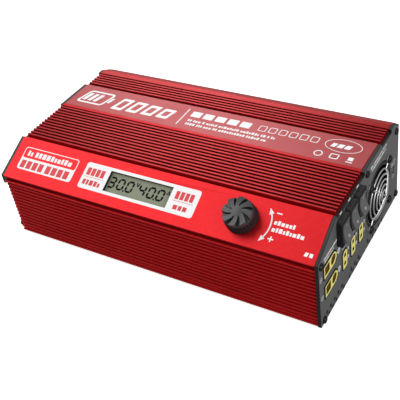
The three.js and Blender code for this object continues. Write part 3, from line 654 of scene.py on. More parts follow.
@dataclass(frozen=True)
class Finish:
    """A finish with grain, uneven colour and uneven roughness, and optional painted shade in grooves and by
    facing.
    """

    name: str
    colour: tuple[float, float, float]
    roughness: float
    metallic: float = 0.0
    coat: float = 0.0
    coat_roughness: float = 0.15
    specular: float = 0.5
    grain_scale: float = 2200.0
    patch_scale: float = 60.0
    bump: float = 0.08
    uneven: float = 0.12
    dust: float = 0.1
    lined: bool = False
    # painted_groove_shade: painted shade in narrow grooves, from ambient occlusion
    painted_groove_shade: float = 0.0
    painted_groove_shade_reach: float = 3.5
    # side_shade and top_shade are painted shade: darker faces turned away from X, and darker faces that look
    # up
    side_shade: float = 0.0
    top_shade: float = 0.0

    def make(self) -> bpy.types.Material:
        """Builds the material."""
        material = bpy.data.materials.new(self.name)
        material.use_nodes = True
        g = Graph(material.node_tree)
        shader = material.node_tree.nodes["Principled BSDF"]
        fill(shader, {"Metallic": self.metallic, "Specular IOR Level": self.specular})
        fill(shader, {"Coat Weight": self.coat, "Coat Roughness": self.coat_roughness})
        texture = g.add("ShaderNodeGroup", node_tree=GROUPS["die_lines" if self.lined else "surface_grain"])
        fill(texture, {0: self.grain_scale, 1: self.patch_scale})
        fine, broad = texture.outputs
        tint = g.add("ShaderNodeMix", data_type="RGBA")
        shade = tuple(c * (1 - self.uneven) for c in self.colour)
        light = tuple(min(1.0, c * (1 + self.uneven)) for c in self.colour)
        fill(tint, {MIX_A: (*shade, 1), MIX_B: (*light, 1)})
        g.join(broad, tint.inputs[MIX_FACTOR])
        dust = g.add("ShaderNodeGroup", node_tree=GROUPS["light_dust"])
        fill(dust, {"Amount": self.dust})
        dusty = g.add("ShaderNodeMix", data_type="RGBA")
        fill(dusty, {MIX_B: DUST_COLOUR})
        g.wire(dust, "Dust", dusty, MIX_FACTOR)
        g.wire(tint, MIX_COLOUR, dusty, MIX_A)
        g.join(self.shaded(g, self.turned_shades(g, dusty.outputs[MIX_COLOUR])), shader.inputs["Base Color"])
        low, high = self.roughness * 0.85, min(1.0, self.roughness * 1.2)
        rough = g.value("ADD", g.spread(broad, low, high), dust.outputs["Dust"])
        g.join(rough, shader.inputs["Roughness"])
        bump = g.add("ShaderNodeBump")
        fill(bump, {"Strength": self.bump, "Distance": 0.05 * MM})
        g.join(fine, bump.inputs["Height"])
        g.wire(bump, "Normal", shader, "Normal")
        return material

    def by_facing(
        self, g: Graph, colour: bpy.types.NodeSocket, axis: str, power: float, away: float, along: float
    ) -> bpy.types.NodeSocket:
        """Multiplies the colour by how squarely a face looks along an axis.

        Args:
            g: The node tree being built.
            colour: The colour to change.
            axis: X, Y or Z.
            power: How fast the effect falls off with the angle.
            away: The factor on faces turned away from the axis.
            along: The factor on faces looking along the axis.

        Returns:
            The changed colour.
        """
        coords = g.add("ShaderNodeTexCoord")
        split = g.add("ShaderNodeSeparateXYZ")
        g.wire(coords, "Normal", split, "Vector")
        facing = g.value("POWER", g.value("ABSOLUTE", split.outputs[axis]), power)
        return g.dimmed(colour, g.spread(facing, away, along))

    def turned_shades(self, g: Graph, colour: bpy.types.NodeSocket) -> bpy.types.NodeSocket:
        """Painted shade: darkens a plate's edges, the faces that do not look along X, and faces that look
        straight up, such as fin tips.
        """
        if self.side_shade:
            colour = self.by_facing(g, colour, "X", 6.0, 1 - self.side_shade, 1.0)
        if self.top_shade:
            colour = self.by_facing(g, colour, "Z", 30.0, 1.0, 1 - self.top_shade)
        return colour

    def shaded(self, g: Graph, colour: bpy.types.NodeSocket) -> bpy.types.NodeSocket:
        """Darkens the colour inside narrow grooves by ambient occlusion: painted shade where less light
        reaches.
        """
        if not self.painted_groove_shade:
            return colour
        near = g.add("ShaderNodeAmbientOcclusion", samples=8, only_local=True)
        near.inputs["Distance"].default_value = self.painted_groove_shade_reach * MM
        level = g.add("ShaderNodeMapRange", interpolation_type="SMOOTHSTEP")
        fill(level, {"From Min": 0.2, "From Max": 1.02, "To Min": 1 - self.painted_groove_shade})
        g.wire(near, "AO", level, "Value")
        return g.dimmed(colour, level.outputs["Result"])


# The red's groove shade and top shade are painted shade.
RED = Finish("red_anodised", (0.6, 0.008, 0.0125), 0.4, metallic=0.8, coat=0.06, coat_roughness=0.35,
             bump=0.1, uneven=0.05, dust=0.05, lined=True, painted_groove_shade=0.66, top_shade=0.4)
# The same red on the lower shell, painted lighter and with less groove shade: painted light on the front
# fins.
RED_LOWER_PAINTED_LIGHT = replace(RED, name="red_anodised_lower", colour=(0.74, 0.013, 0.017), painted_groove_shade=0.1, top_shade=0.0)
LABEL = Finish("label_film", (0.37, 0.038, 0.044), 0.42, metallic=0.4, coat=0.09, coat_roughness=0.35,
               grain_scale=3000, bump=0.05, uneven=0.05, dust=0.08)
# The plate's side_shade is painted shade on its edges.
PLATE = Finish("dark_plate", (0.125, 0.127, 0.13), 0.5, metallic=0.1, grain_scale=1500, bump=0.2, uneven=0.08,
               dust=0.03, side_shade=0.93)
BLACK_PLASTIC = Finish("black_plastic", (0.01, 0.01, 0.011), 0.5, specular=0.2, uneven=0.15, dust=0.02)
KNOB_PLASTIC = replace(BLACK_PLASTIC, name="knob_plastic", specular=0.25, bump=0.04, uneven=0.12)
# The cap's grey, lighter than the black grip, is painted light on the knob's top; its groove shade is painted
# shade in the notches.
KNOB_CAP_PAINTED_LIGHT = Finish("knob_cap", (0.045, 0.045, 0.048), 0.3, specular=0.45, bump=0.05, uneven=0.1, dust=0.02,
                  painted_groove_shade=0.9, painted_groove_shade_reach=2.5)
ROCKER_PLASTIC = Finish("rocker_plastic", (0.105, 0.106, 0.11), 0.34, coat=0.1, bump=0.05, uneven=0.1,
                        dust=0.03)
YELLOW = Finish("yellow_nylon", (1.0, 0.88, 0.26), 0.4, bump=0.1, uneven=0.06, patch_scale=160, dust=0.0)
# Painted shade on the walls of the large socket's cells, dark brown.
CELL_SHADE = Finish("cell_lining", (0.10, 0.055, 0.01), 0.4, bump=0.1, dust=0.0)
SHADOW_GAP = Finish("shadow_gap", (0.004, 0.004, 0.004), 0.7, bump=0.05, dust=0.0)
CHROME = Finish("bright_wire", (0.8, 0.8, 0.81), 0.36, metallic=0.85, bump=0.0, uneven=0.04, dust=0.0)
BLACK_SCREW = Finish("black_screw", (0.03, 0.03, 0.031), 0.27, metallic=0.75, bump=0.05)
GOLD = Finish("gold_contact", (0.83, 0.55, 0.16), 0.22, metallic=1.0, bump=0.04, uneven=0.08)
NICKEL = Finish("nickel_steel", (0.72, 0.72, 0.72), 0.24, metallic=1.0, bump=0.05, uneven=0.06)
LCD_GLASS = Finish("lcd_glass", (0.235, 0.255, 0.18), 0.5, coat=0.05, coat_roughness=0.1, specular=0.2,
                   bump=0.01, uneven=0.05, patch_scale=25, dust=0.0)
LCD_INK = Finish("lcd_ink", (0.004, 0.005, 0.004), 0.6, specular=0.1, bump=0.0, dust=0.0)
WHITE_INK = Finish("white_ink", (0.86, 0.86, 0.86), 0.5, bump=0.04, uneven=0.03, patch_scale=200)
RED_INK = Finish("red_ink", (0.68, 0.02, 0.03), 0.5, bump=0.04, uneven=0.04)
GREY_INK = Finish("grey_ink", (0.62, 0.62, 0.63), 0.5, bump=0.04, uneven=0.1, patch_scale=300)
RUBBER = Finish("rubber_feet", (0.012, 0.012, 0.012), 0.75, bump=0.3, grain_scale=900)
BOARD_GREEN = Finish("board_green", (0.01, 0.13, 0.045), 0.35, coat=0.3, grain_scale=500, bump=0.15)
ALUMINIUM = Finish("plain_aluminium", (0.72, 0.73, 0.74), 0.35, metallic=0.95, bump=0.1, lined=True)
COPPER = Finish("enamelled_wire", (0.55, 0.22, 0.08), 0.3, metallic=0.9, bump=0.5, grain_scale=600)
TAPE = Finish("yellow_tape", (0.72, 0.55, 0.10), 0.4, coat=0.3, bump=0.1)
SLEEVE = Finish("capacitor_sleeve", (0.02, 0.035, 0.09), 0.3, coat=0.3, bump=0.05)


class Finishes:
    """Makes each finish once, when it is first asked for."""

    def __init__(self) -> None:
        """Starts with none made."""
        self.made: dict[str, bpy.types.Material] = {}

    def __call__(self, finish: Finish) -> bpy.types.Material:
        """The material of a finish."""
        if finish.name not in self.made:
            self.made[finish.name] = finish.make()
        return self.made[finish.name]


finish_of = Finishes()


def coat_node(name: str, finish: Finish) -> None:
    """Gives a CAD node that stays in view a finish."""
    obj = frame["nodes"][name]
    obj.data.materials.clear()
    obj.data.materials.append(finish_of(finish))
    log.info("node  %-24s keeps its shape, finish %s", name, finish.name)


# ------------------------------------------------------------------ geometry node tools


def geometry_tree(
    name: str, floats: dict[str, float], extra: Sequence[tuple[str, str]] = ()
) -> bpy.types.NodeTree:
    """A geometry node tree with a geometry input and output, named inputs and a material input, Finish.

    Args:
        name: The tree's name.
        floats: Named number inputs with their defaults.
        extra: Further (name, socket type) inputs.

    Returns:
        The tree.
    """
    tree = bpy.data.node_groups.new(name, "GeometryNodeTree")
    face = tree.interface
    face.new_socket(name="Geometry", in_out="INPUT", socket_type="NodeSocketGeometry")
    for label, default in floats.items():
        face.new_socket(name=label, in_out="INPUT", socket_type="NodeSocketFloat").default_value = default
    for label, kind in (*extra, ("Finish", "NodeSocketMaterial")):
        face.new_socket(name=label, in_out="INPUT", socket_type=kind)
    face.new_socket(name="Geometry", in_out="OUTPUT", socket_type="NodeSocketGeometry")
    return tree


def end_tree(g: Graph, geometry: bpy.types.NodeSocket, inside: bpy.types.Node) -> None:
    """Finishes a tree with Realize Instances and Set Material."""
    real = g.add("GeometryNodeRealizeInstances")
    paint = g.add("GeometryNodeSetMaterial")
    outside = g.add("NodeGroupOutput")
    g.join(geometry, real.inputs["Geometry"])
    g.wire(real, "Geometry", paint, "Geometry")
    g.wire(inside, "Finish", paint, "Material")
    g.wire(paint, "Geometry", outside, "Geometry")


def sweep_tree() -> bpy.types.NodeTree:
    """Sweeps a round wire along every curve of the input."""
    tree = geometry_tree("sweep_wire", {"Wire Radius": 0.85 * MM})
    g = Graph(tree)
    inside = g.add("NodeGroupInput")
    ring = g.add("GeometryNodeCurvePrimitiveCircle")
    ring.inputs["Resolution"].default_value = 10
    sweep = g.add("GeometryNodeCurveToMesh")
    sweep.inputs["Fill Caps"].default_value = True
    smooth = g.add("GeometryNodeSetShadeSmooth")
    g.wire(inside, "Wire Radius", ring, "Radius")
    g.wire(inside, "Geometry", sweep, "Curve")
    g.wire(ring, "Curve", sweep, "Profile Curve")
    g.wire(sweep, "Mesh", smooth, "Geometry")
    end_tree(g, smooth.outputs["Geometry"], inside)
    return tree


def scatter_tree() -> bpy.types.NodeTree:
    """Puts a copy of one object on every vertex, each turned by its own amount about the object's Z."""
    extra = [("Item", "NodeSocketObject"), ("Aim", "NodeSocketRotation")]
    tree = geometry_tree("item_on_points", {"Largest Turn": 3.0}, extra)
    g = Graph(tree)
    inside = g.add("NodeGroupInput")
    item = g.add("GeometryNodeObjectInfo")
    item.inputs["As Instance"].default_value = True
    place = g.add("GeometryNodeInstanceOnPoints")
    turn = g.add("FunctionNodeRandomValue", data_type="FLOAT")
    turn.inputs["Seed"].default_value = 7
    spin = g.add("FunctionNodeAxisAngleToRotation")
    spin.inputs["Axis"].default_value = (0, 0, 1)
    both = g.add("FunctionNodeRotateRotation", rotation_space="LOCAL")
    g.wire(inside, "Item", item, "Object")
    g.wire(inside, "Geometry", place, "Points")
    g.wire(item, "Geometry", place, "Instance")
    g.wire(inside, "Largest Turn", turn, 3)
    g.wire(turn, 1, spin, "Angle")
    g.wire(inside, "Aim", both, "Rotation")
    g.wire(spin, "Rotation", both, "Rotate By")
    g.wire(both, "Rotation", place, "Rotation")
    end_tree(g, place.outputs["Instances"], inside)
    return tree


def spin_tree() -> bpy.types.NodeTree:
    """Repeats the input evenly round X."""
    tree = geometry_tree("repeat_round_x", {"Copies": 7.0})
    g = Graph(tree)
    inside = g.add("NodeGroupInput")
    points = g.add("GeometryNodePoints")
    index = g.add("GeometryNodeInputIndex")
    place = g.add("GeometryNodeInstanceOnPoints")
    step = g.value("DIVIDE", 2 * math.pi, inside.outputs["Copies"])
    angle = g.value("MULTIPLY", index.outputs[0], step)
    spin = g.add("FunctionNodeAxisAngleToRotation")
    spin.inputs["Axis"].default_value = (1, 0, 0)
    g.wire(inside, "Copies", points, "Count")
    g.wire(points, 0, place, "Points")
    g.wire(inside, "Geometry", place, "Instance")
    g.join(angle, spin.inputs["Angle"])
    g.wire(spin, "Rotation", place, "Rotation")
    end_tree(g, place.outputs["Instances"], inside)
    return tree


TREES = {"sweep": sweep_tree(), "scatter": scatter_tree(), "spin": spin_tree()}


def run_tree(obj: bpy.types.Object, tree: bpy.types.NodeTree, **inputs: object) -> bpy.types.Object:
    """Runs a geometry node tree on an object and settles the result.

    Args:
        obj: The object that carries the tree.
        tree: The geometry node tree.
        **inputs: Values of the tree's named inputs, with underscores for spaces.

    Returns:
        The plain mesh that the tree made.
    """
    modifier = obj.modifiers.new("tree", "NODES")
    modifier.node_group = tree
    names = {s.name: s.identifier for s in tree.interface.items_tree if s.in_out == "INPUT"}
    for key, given in inputs.items():
        modifier[names[key.replace("_", " ")]] = given
    return settle(obj)


def curve_object(name: str, paths: Sequence[tuple[Sequence[Vector], bool]]) -> bpy.types.Object:
    """A curve object of straight-sided paths, each given as its points and whether it closes."""
    curve = bpy.data.curves.new(name, "CURVE")
    curve.dimensions = "3D"
    for points, closed in paths:
        spline = curve.splines.new("POLY")
        spline.points.add(len(points) - 1)
        for target, point in zip(spline.points, points):
            target.co = (*point, 1)
        spline.use_cyclic_u = closed
    return link(bpy.data.objects.new(name, curve))


def smooth_path(points: Sequence[Vector], steps: int = 8) -> list[Vector]:
    """A rounded path through points, by Catmull-Rom spans."""
    padded = [points[0] * 2 - points[1], *points, points[-1] * 2 - points[-2]]
    out: list[Vector] = []
    for a, b, c, d in zip(padded, padded[1:], padded[2:], padded[3:]):
        bend, twist = a * 2 - b * 5 + c * 4 - d, b * 3 - a - c * 3 + d
        for t in (k / steps for k in range(steps)):
            out.append(0.5 * (b * 2 + (c - a) * t + bend * t * t + twist * t ** 3))
    return [*out, points[-1]]


# ------------------------------------------------------------------ sub-assemblies


@dataclass
class Shells:
    """The two extrusions, the label film and the feet."""

    edge: float = 0.22
    foot_radius: float = 6.0
    foot_height: float = 2.0

    def build(self) -> None:
        """Dresses the extrusions and makes the feet."""
        for name, finish in (("top_shell", RED), ("bottom_shell", RED_LOWER_PAINTED_LIGHT)):
            soften_node(name, self.edge)
            coat_node(name, finish)
        coat_node("top_label", LABEL)
        for i in range(1, 5):
            self.foot(f"foot_{i}")

    def foot(self, node: str) -> None:
        """A rubber foot with a rounded rim and a screw recess."""
        low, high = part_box(node)
        base = Plane(Vector(((low.x + high.x) / 2, (low.y + high.y) / 2, low.z)), AXIS_X, AXIS_Y)
        r, h = self.foot_radius, self.foot_height - 0.06
        recess = [(POLE, 0.9), (1.9, 0.9), (2.1, 0.75), (2.2, 0.15), (2.5, 0.0)]
        profile = [*recess, (r - 0.9, 0.0), (r - 0.35, 0.2), (r - 0.05, 0.7), (r - 0.05, h), (POLE, h)]
        piece = turned(f"rubber_{node}", profile, base, 40)
        dress(piece, RUBBER, stands_for=[node])


@dataclass
class Screws:
    """Pan-head screws with cross recesses, one copy set on each CAD screw."""

    head_radius: float = 2.55
    head_height: float = 1.75
    recess: float = 1.35
    recess_width: float = 0.84
    recess_depth: float = 0.85
    skirt: float = 0.45

    def head(self) -> bpy.types.Object:
        """One screw head standing on Z, with its cross recess sunk into the dome."""
        sides, levels = 32, 9
        r, h = self.head_radius, self.head_height
        flat = Plane(Vector(), AXIS_X, AXIS_Y)
        loops = [circle(flat, r, 0, sides), circle(flat, r, h * self.skirt, sides)]
        for level in range(1, levels + 1):
            climb = level / levels * math.pi / 2
            radius = r * math.cos(climb) if level < levels else 0.04
            out = h * (self.skirt + (1 - self.skirt) * math.sin(climb))
            loop = []
            for u, v in disc(0, 0, radius, sides):
                arm = min(abs(u), abs(v)) < self.recess_width / 2 and max(abs(u), abs(v)) < self.recess
                loop.append(flat.at(u, v, out - (self.recess_depth if arm else 0)))
            loops.append(loop)
        return rings("screw_head_pattern", loops)

    def build(self) -> None:
        """Sets a screw head on every CAD screw of both plates and of the fan."""
        head = self.head()
        sets = [("right_plate_screw", 5, 1, 1.0), ("left_plate_screw", 5, -1, 1.0), ("fan_screw", 4, 1, 1.2)]
        for stem, count, side, scale in sets:
            nodes = [f"{stem}_{i}" for i in range(1, count + 1)]
            spots = []
            for node in nodes:
                low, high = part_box(node)
                seat = (high.x if side > 0 else low.x) - side * self.head_height * scale * MM
                spots.append(Vector((seat, (low.y + high.y) / 2, (low.z + high.z) / 2)) / scale)
            host = mesh_object(f"{stem}_heads", spots, [])
            aim = Euler((0, side * math.pi / 2, 0)).to_quaternion()
            finish = finish_of(BLACK_SCREW)
            obj = run_tree(host, TREES["scatter"], Item=head, Finish=finish, Aim=tuple(aim.to_euler()))
            obj.data.transform(Matrix.Scale(scale, 4))
            dress(obj, BLACK_SCREW, stands_for=nodes)
        bpy.data.objects.remove(head)


@dataclass
class EndPlates:
    """The two painted end plates, their marks and the painted shadow in the vents."""

    housing: Housing
    edge: float = 0.3

    def build(self) -> None:
        """Dresses the plates, prints both ends and puts painted shadow in the vents."""
        for name in ("right_end_plate", "left_end_plate"):
            soften_node(name, self.edge)
            coat_node(name, PLATE)
        self.print_output_end()
        self.print_far_end()
        self.vents()

    def vents(self) -> None:
        """Painted shade in the vent slots of the output end: a dark sheet behind the slots and a dark ring
        round each slot.
        """
        pitch = 6.25
        rows = ((9.6, 6.0, 5), (12.8, 2.3, 5), (48.2, 2.3, 4), (51.3, 6.0, 3), (81.6, 6.0, 1), (85.0, 2.3, 5))
        spots = [(start + pitch * k, height) for start, height, count in rows for k in range(count)]
        shadow_fills = [round_box(u, v, 1.26, 2.76) for u, v in spots]
        vent_shadow = slab("vent_baffles", shadow_fills, self.housing.end, -1.2, -0.15)
        dress(vent_shadow, SHADOW_GAP)
        shadow_edges = [loop for u, v in spots for loop in outlined(u, v, (2.1, 3.5, 0.5), (1.3, 2.8))]
        printed("vent_edges", shadow_edges, self.housing.end, SHADOW_GAP)

    def print_output_end(self) -> None:
        """Generic marks: polarity signs, dashes and block rows."""
        white: list[Loop] = []
        white += blocks(8.5, 52.6, 24, 1.7, 3) + blocks(9.5, 49.9, 15, 1.5, 4)
        white += blocks(88, 64.6, 30, 1.7, 5) + blocks(90, 61.6, 27, 1.7, 6)
        white += blocks(129.5, 38.4, 8, 1.2, 8) + blocks(129.5, 36.3, 6.5, 1.2, 9)
        for centre in (41.2, 25.0):
            white += [disc(31.0, centre, 2.2), plus_sign(31.0, centre, 2.8, 0.7)]
        for i in range(3):
            middle = 40 + 14.2 * i
            white += blocks(middle - 3.2, 36.6, 6.4, 1.1, 20 + i)
            white += [disc(middle + 6.4, 30.0, 1.3, 16), plus_sign(middle + 6.4, 30.0, 1.7, 0.45)]
            white += [disc(middle + 6.4, 22.6, 1.3, 16), round_box(middle + 6.4, 22.6, 1.7, 0.45)]
            white += [round_box(36.0 + 14 * i, 68.0, 3.4, 1.3)]
        printed("output_end_marks", white, self.housing.end, WHITE_INK)
        grey: list[Loop] = []
        for u, v in ((3.2, 40.6), (3.9, 24.4)):
            grey += [disc(u, v, 1.9), disc(u, v, 1.5), round_box(u, v, 1.8, 0.6)]
        printed("output_end_minus_marks", grey, self.housing.end, GREY_INK)

    def print_far_end(self) -> None:
        """A block row over the mains inlet."""
        loops = blocks(-116, 50.5, 24, 1.7, 31) + blocks(-112, 47.8, 16, 1.5, 32)
        printed("mains_end_marks", loops, self.housing.far_end, WHITE_INK)


@dataclass
class FanUnit:
    """The fan's frame, rotor and wire guard, and a painted shadow ring round its opening."""

    housing: Housing
    wire: float = 1.15
    blades: int = 7
    ring_radii: tuple[float, ...] = (4.1, 7.7, 11.3, 14.9, 18.4)
    rise: float = 3.2
    eye_radius: float = 2.4
    screw_circle: float = 18 * math.sqrt(2)
    centre: Vector = field(default_factory=Vector)

    def build(self) -> None:
        """Dresses the frame and makes the guard and the rotor."""
        self.centre = Vector(joint("fan_spin")["pos_m"])
        soften_node("fan_frame", 0.3)
        coat_node("fan_frame", BLACK_PLASTIC)
        # A black ring round the bore: painted shadow of the recess round the fan.
        bore = self.housing.end.over(self.centre)
        printed("fan_bore_edge", [disc(0, 0, r, 64) for r in (24.4, 22.15)], bore, SHADOW_GAP)
        self.guard()
        self.rotor()

    def spot(self, x: float, radius: float, turn: float) -> Vector:
        """A point by its height off the plate's inner face, its radius and its angle about the fan's axis."""
        return self.centre + Vector((x, -radius * math.sin(turn), radius * math.cos(turn))) * MM

    def guard(self) -> None:
        """Concentric wire rings carried by four arms that end in screw eyes."""
        wire = self.wire / 2
        rim = self.housing.plate + wire + 0.3
        outer = self.ring_radii[-1]

        def level(radius: float) -> float:
            """Height of the shallow dome at a radius."""
            return rim + self.rise * (1 - (min(radius, outer) / outer) ** 2)

        paths: list[tuple[list[Vector], bool]] = []
        for radius in self.ring_radii:
            paths.append(([self.spot(level(radius), radius, t) for t in even_turns(72)], True))
        for i in range(4):
            turn = math.pi / 4 + i * math.pi / 2
            eye = self.spot(rim, self.screw_circle, turn)
            out = (self.spot(rim, 1, turn) - self.spot(rim, 0, turn)).normalized()
            side = out.cross(AXIS_X)
            reach = self.eye_radius * MM
            loop = [eye + (side * math.sin(t) - out * math.cos(t)) * reach for t in even_turns(24)]
            paths.append((loop, True))
            stops = [self.screw_circle - self.eye_radius, *reversed(self.ring_radii), self.ring_radii[0] / 2]
            lift = self.wire * 0.6
            bends = [self.spot(level(r) + (lift if r < outer else 0), r, turn) for r in stops]
            paths.append((smooth_path(bends), False))
        obj = curve_object("wire_guard", paths)
        obj = run_tree(obj, TREES["sweep"], Wire_Radius=wire * MM, Finish=finish_of(CHROME))
        dress(obj, CHROME, stands_for=["fan_guard"])

    def rotor(self) -> None:
        """A hub with a rounded rim and swept, twisted blades."""
        hub_radius, front, back, tip = 10.2, -1.55, -12.0, 20.2
        across, along = 8, 7
        loops = []
        for i in range(along + 1):
            radius = hub_radius - 0.6 + (tip - hub_radius + 0.6) * i / along
            pitch = math.radians(52 - 18 * i / along)
            chord = 4.7 + 0.26 * i
            lead = 0.16 * (i / along) ** 2
            loop = []
            for k in range(2 * across):
                side = 1 if k < across else -1
                s = (k if k < across else 2 * across - k) / across * 2 - 1
                thick = side * 0.42 * math.sqrt(max(0.0, 1 - s * s)) + 0.5 * (1 - s * s)
                x = -6.6 + chord * s * math.cos(pitch) * 0.8 + thick * math.sin(pitch)
                swing = chord * s * math.sin(pitch) - thick * math.cos(pitch)
                turn = swing / radius + lead
                loop.append(Vector((x, -radius * math.sin(turn), radius * math.cos(turn))) * MM)
            loops.append(loop)
        blade = rings("rotor_blades", loops)
        blade = run_tree(blade, TREES["spin"], Copies=float(self.blades), Finish=finish_of(BLACK_PLASTIC))
        blade.data.transform(Matrix.Translation(self.centre))
        drops = [(0, 1.2), (0.35, 0.4), (1.2, 0), (3.4, 0), (3.6, 0.25)]
        rim = [(hub_radius - inset, front - drop) for inset, drop in drops]
        profile = [(POLE, back), (hub_radius, back), *rim, (POLE, front - 0.25)]
        hub = turned("rotor_hub", profile, Plane(self.centre, AXIS_Y, AXIS_Z), 56)
        piece = joined("fan_rotor_moulding", [hub, blade])
        dress(piece, BLACK_PLASTIC, "fan", ["fan_rotor"])


@dataclass
class Rockers:
    """Three rocker switches, each in its frame."""

    width: float = 9.6
    half: float = 7.5
    tilt: float = -11.0
    dip: float = 1.7
    peak: float = 3.5

    def surface(self, u: float) -> float:
        """Height of the dished face at a distance from the pivot."""
        return self.peak - self.dip * (1 - (u / self.half) ** 2)

    def build(self) -> None:
        """Makes the three switches."""
        for i, body in enumerate(("rocker_a", "rocker_b", "rocker_c"), start=1):
            pivot = Vector(joint(f"rocker_{i}_tilt")["pos_m"])
            turn = Matrix.Rotation(math.radians(self.tilt), 3, "Y")
            face = Plane(pivot, AXIS_Y, turn @ AXIS_Z)
            self.cap(i, body, face)
            self.marks(i, body, face)
            soften_node(f"switch_frame_{i}", 0.35, 3)
            coat_node(f"switch_frame_{i}", BLACK_PLASTIC)

    def cap(self, i: int, body: str, face: Plane) -> None:
        """The rocker itself: a dished bar with rounded sides."""
        under = [(self.half - 0.35, 0.2), (self.half * 0.62, -3.3), (1.5, -4.5)]
        side: Loop = [(u, self.surface(u)) for u in (self.half * (k / 12 - 1) for k in range(25))]
        side += [*under, *[(-u, out) for u, out in reversed(under)]]
        loops = [[face.at(y, u, out) for u, out in side] for y in (-self.width / 2, self.width / 2)]
        obj = bevelled(rings(f"rocker_cap_{i}", loops), 0.45, 3, 28)
        dress(obj, ROCKER_PLASTIC, body, [f"rocker_{i}"])

    def marks(self, i: int, body: str, face: Plane) -> None:
        """An upright stroke on the upper half and a ring on the lower half."""
        for name, v, loops in (
            ("on", 4.2, [round_box(0, 0, 0.45, 2.0)]),
            ("off", -4.2, [disc(0, 0, 0.95, 24), disc(0, 0, 0.6, 24)]),
        ):
            slope = math.atan(2 * self.dip * v / self.half ** 2)
            up = (face.v * math.cos(slope) + face.n * math.sin(slope)).normalized()
            patch = Plane(face.at(0, v, self.surface(v)), face.u, up)
            printed(f"rocker_{name}_mark_{i}", loops, patch, GREY_INK, 0.05, body)


@dataclass(frozen=True)
class SocketShape:
    """The outlines of one kind of socket, and its depths out from the plate's face, in millimetres."""

    rim: Loop
    collar: Loop
    cells: list[Loop]
    insides: list[Loop]
    metal: list[Loop]
    metal_name: str
    metal_top: float
    floor: float
    lining: Finish
    cell_shade_top: float


@dataclass
class Sockets:
    """The yellow output sockets, their gold contacts and the charging port."""

    housing: Housing

    def build(self) -> None:
        """Dresses the sockets, the bus bars and the charging port."""
        for i in (1, 2):
            self.socket(f"main_output_socket_{i}", self.main_shape())
        for i in (1, 2, 3):
            self.socket(f"aux_output_socket_{i}", self.aux_shape())
        for name in ("bus_bar_positive", "bus_bar_negative"):
            coat_node(name, GOLD)
        soften_node("usb_socket", 0.15)
        coat_node("usb_socket", NICKEL)
        self.port_contacts()

    def socket(self, node: str, shape: SocketShape) -> None:
        """One socket: a yellow body with painted shade round it and in its cells, a black shadow ring, dark
        cell walls and black cell floors, and the metal inside.

        Args:
            node: The CAD node that it replaces.
            shape: Its outlines and depths.
        """
        face = self.housing.end.over(middle_of(node))
        # The shadow ring, the cell walls and the black floors are painted shade: the gap round the body and
        # the dark inside of the cells.
        lining = [*shape.cells, *shape.insides]
        for part, loops, low, high, finish, slot in (
            ("body", [shape.rim, *shape.cells], -14, 0.55, YELLOW, "yellow_plastic"),
            ("collar", [shape.collar, shape.rim], 0.02, 0.5, SHADOW_GAP, ""),
            ("lining", lining, -13.5, shape.cell_shade_top, shape.lining, ""),
            ("floor", shape.insides, -13.5, shape.floor, SHADOW_GAP, ""),
            (shape.metal_name, shape.metal, shape.floor + 0.1, shape.metal_top, GOLD, "gold_contact"),
        ):
            stands_for = [node] if part == "body" else []
            dress(slab(f"{node}_{part}", loops, face, low, high), finish, stands_for=stands_for)

    @staticmethod
    def main_shape() -> SocketShape:
        """The large socket: a square cell and a round one, with tube contacts."""
        square, tube = -4.7, 4.6
        return SocketShape(
            rim=cornered_box(19.2, 9.5, (0, 2.9, 2.9, 0)),
            collar=cornered_box(21.4, 11.7, (0.6, 3.4, 3.4, 0.6)),
            cells=[round_box(square, 0, 7.5, 7.5, 1.2), disc(tube, 0, 3.8, 32)],
            insides=[round_box(square, 0, 7.2, 7.2, 1.0), disc(tube, 0, 3.65, 32)],
            metal=[disc(u, 0, radius, 32) for u in (square, tube) for radius in (2.9, 2.0)],
            metal_name="contacts",
            metal_top=-0.5,
            floor=-6,
            lining=CELL_SHADE,
            cell_shade_top=0.2,
        )

    @staticmethod
    def aux_shape() -> SocketShape:
        """The small socket: two square cells with pins."""
        spots = (-3.5, 3.5)
        return SocketShape(
            rim=cornered_box(7.0, 14.9, (0.9, 0.9, 1.9, 1.9)),
            collar=cornered_box(8.8, 16.7, (1.4, 1.4, 2.4, 2.4)),
            cells=[round_box(0, v, 3.3, 3.4, 0.3) for v in spots],
            insides=[round_box(0, v, 3.1, 3.2, 0.2) for v in spots],
            metal=[disc(0, v, 0.8, 16) for v in spots],
            metal_name="pins",
            metal_top=-2.5,
            floor=-8,
            lining=SHADOW_GAP,
            cell_shade_top=0.35,
        )

    def port_contacts(self) -> None:
        """The four contacts inside the charging port."""
        _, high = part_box("usb_socket")
        middle = middle_of("usb_socket")
        face = Plane(Vector((high.x, middle.y, middle.z)), AXIS_Y, AXIS_Z)
        contacts = [round_box(0.1, -3.6 + 2.4 * k, 0.05, 1.1) for k in range(4)]
        pieces = [prism(f"port_contact_{k}", loop, face, -9.0, -2.2) for k, loop in enumerate(contacts)]
        dress(joined("port_contacts", pieces), GOLD)


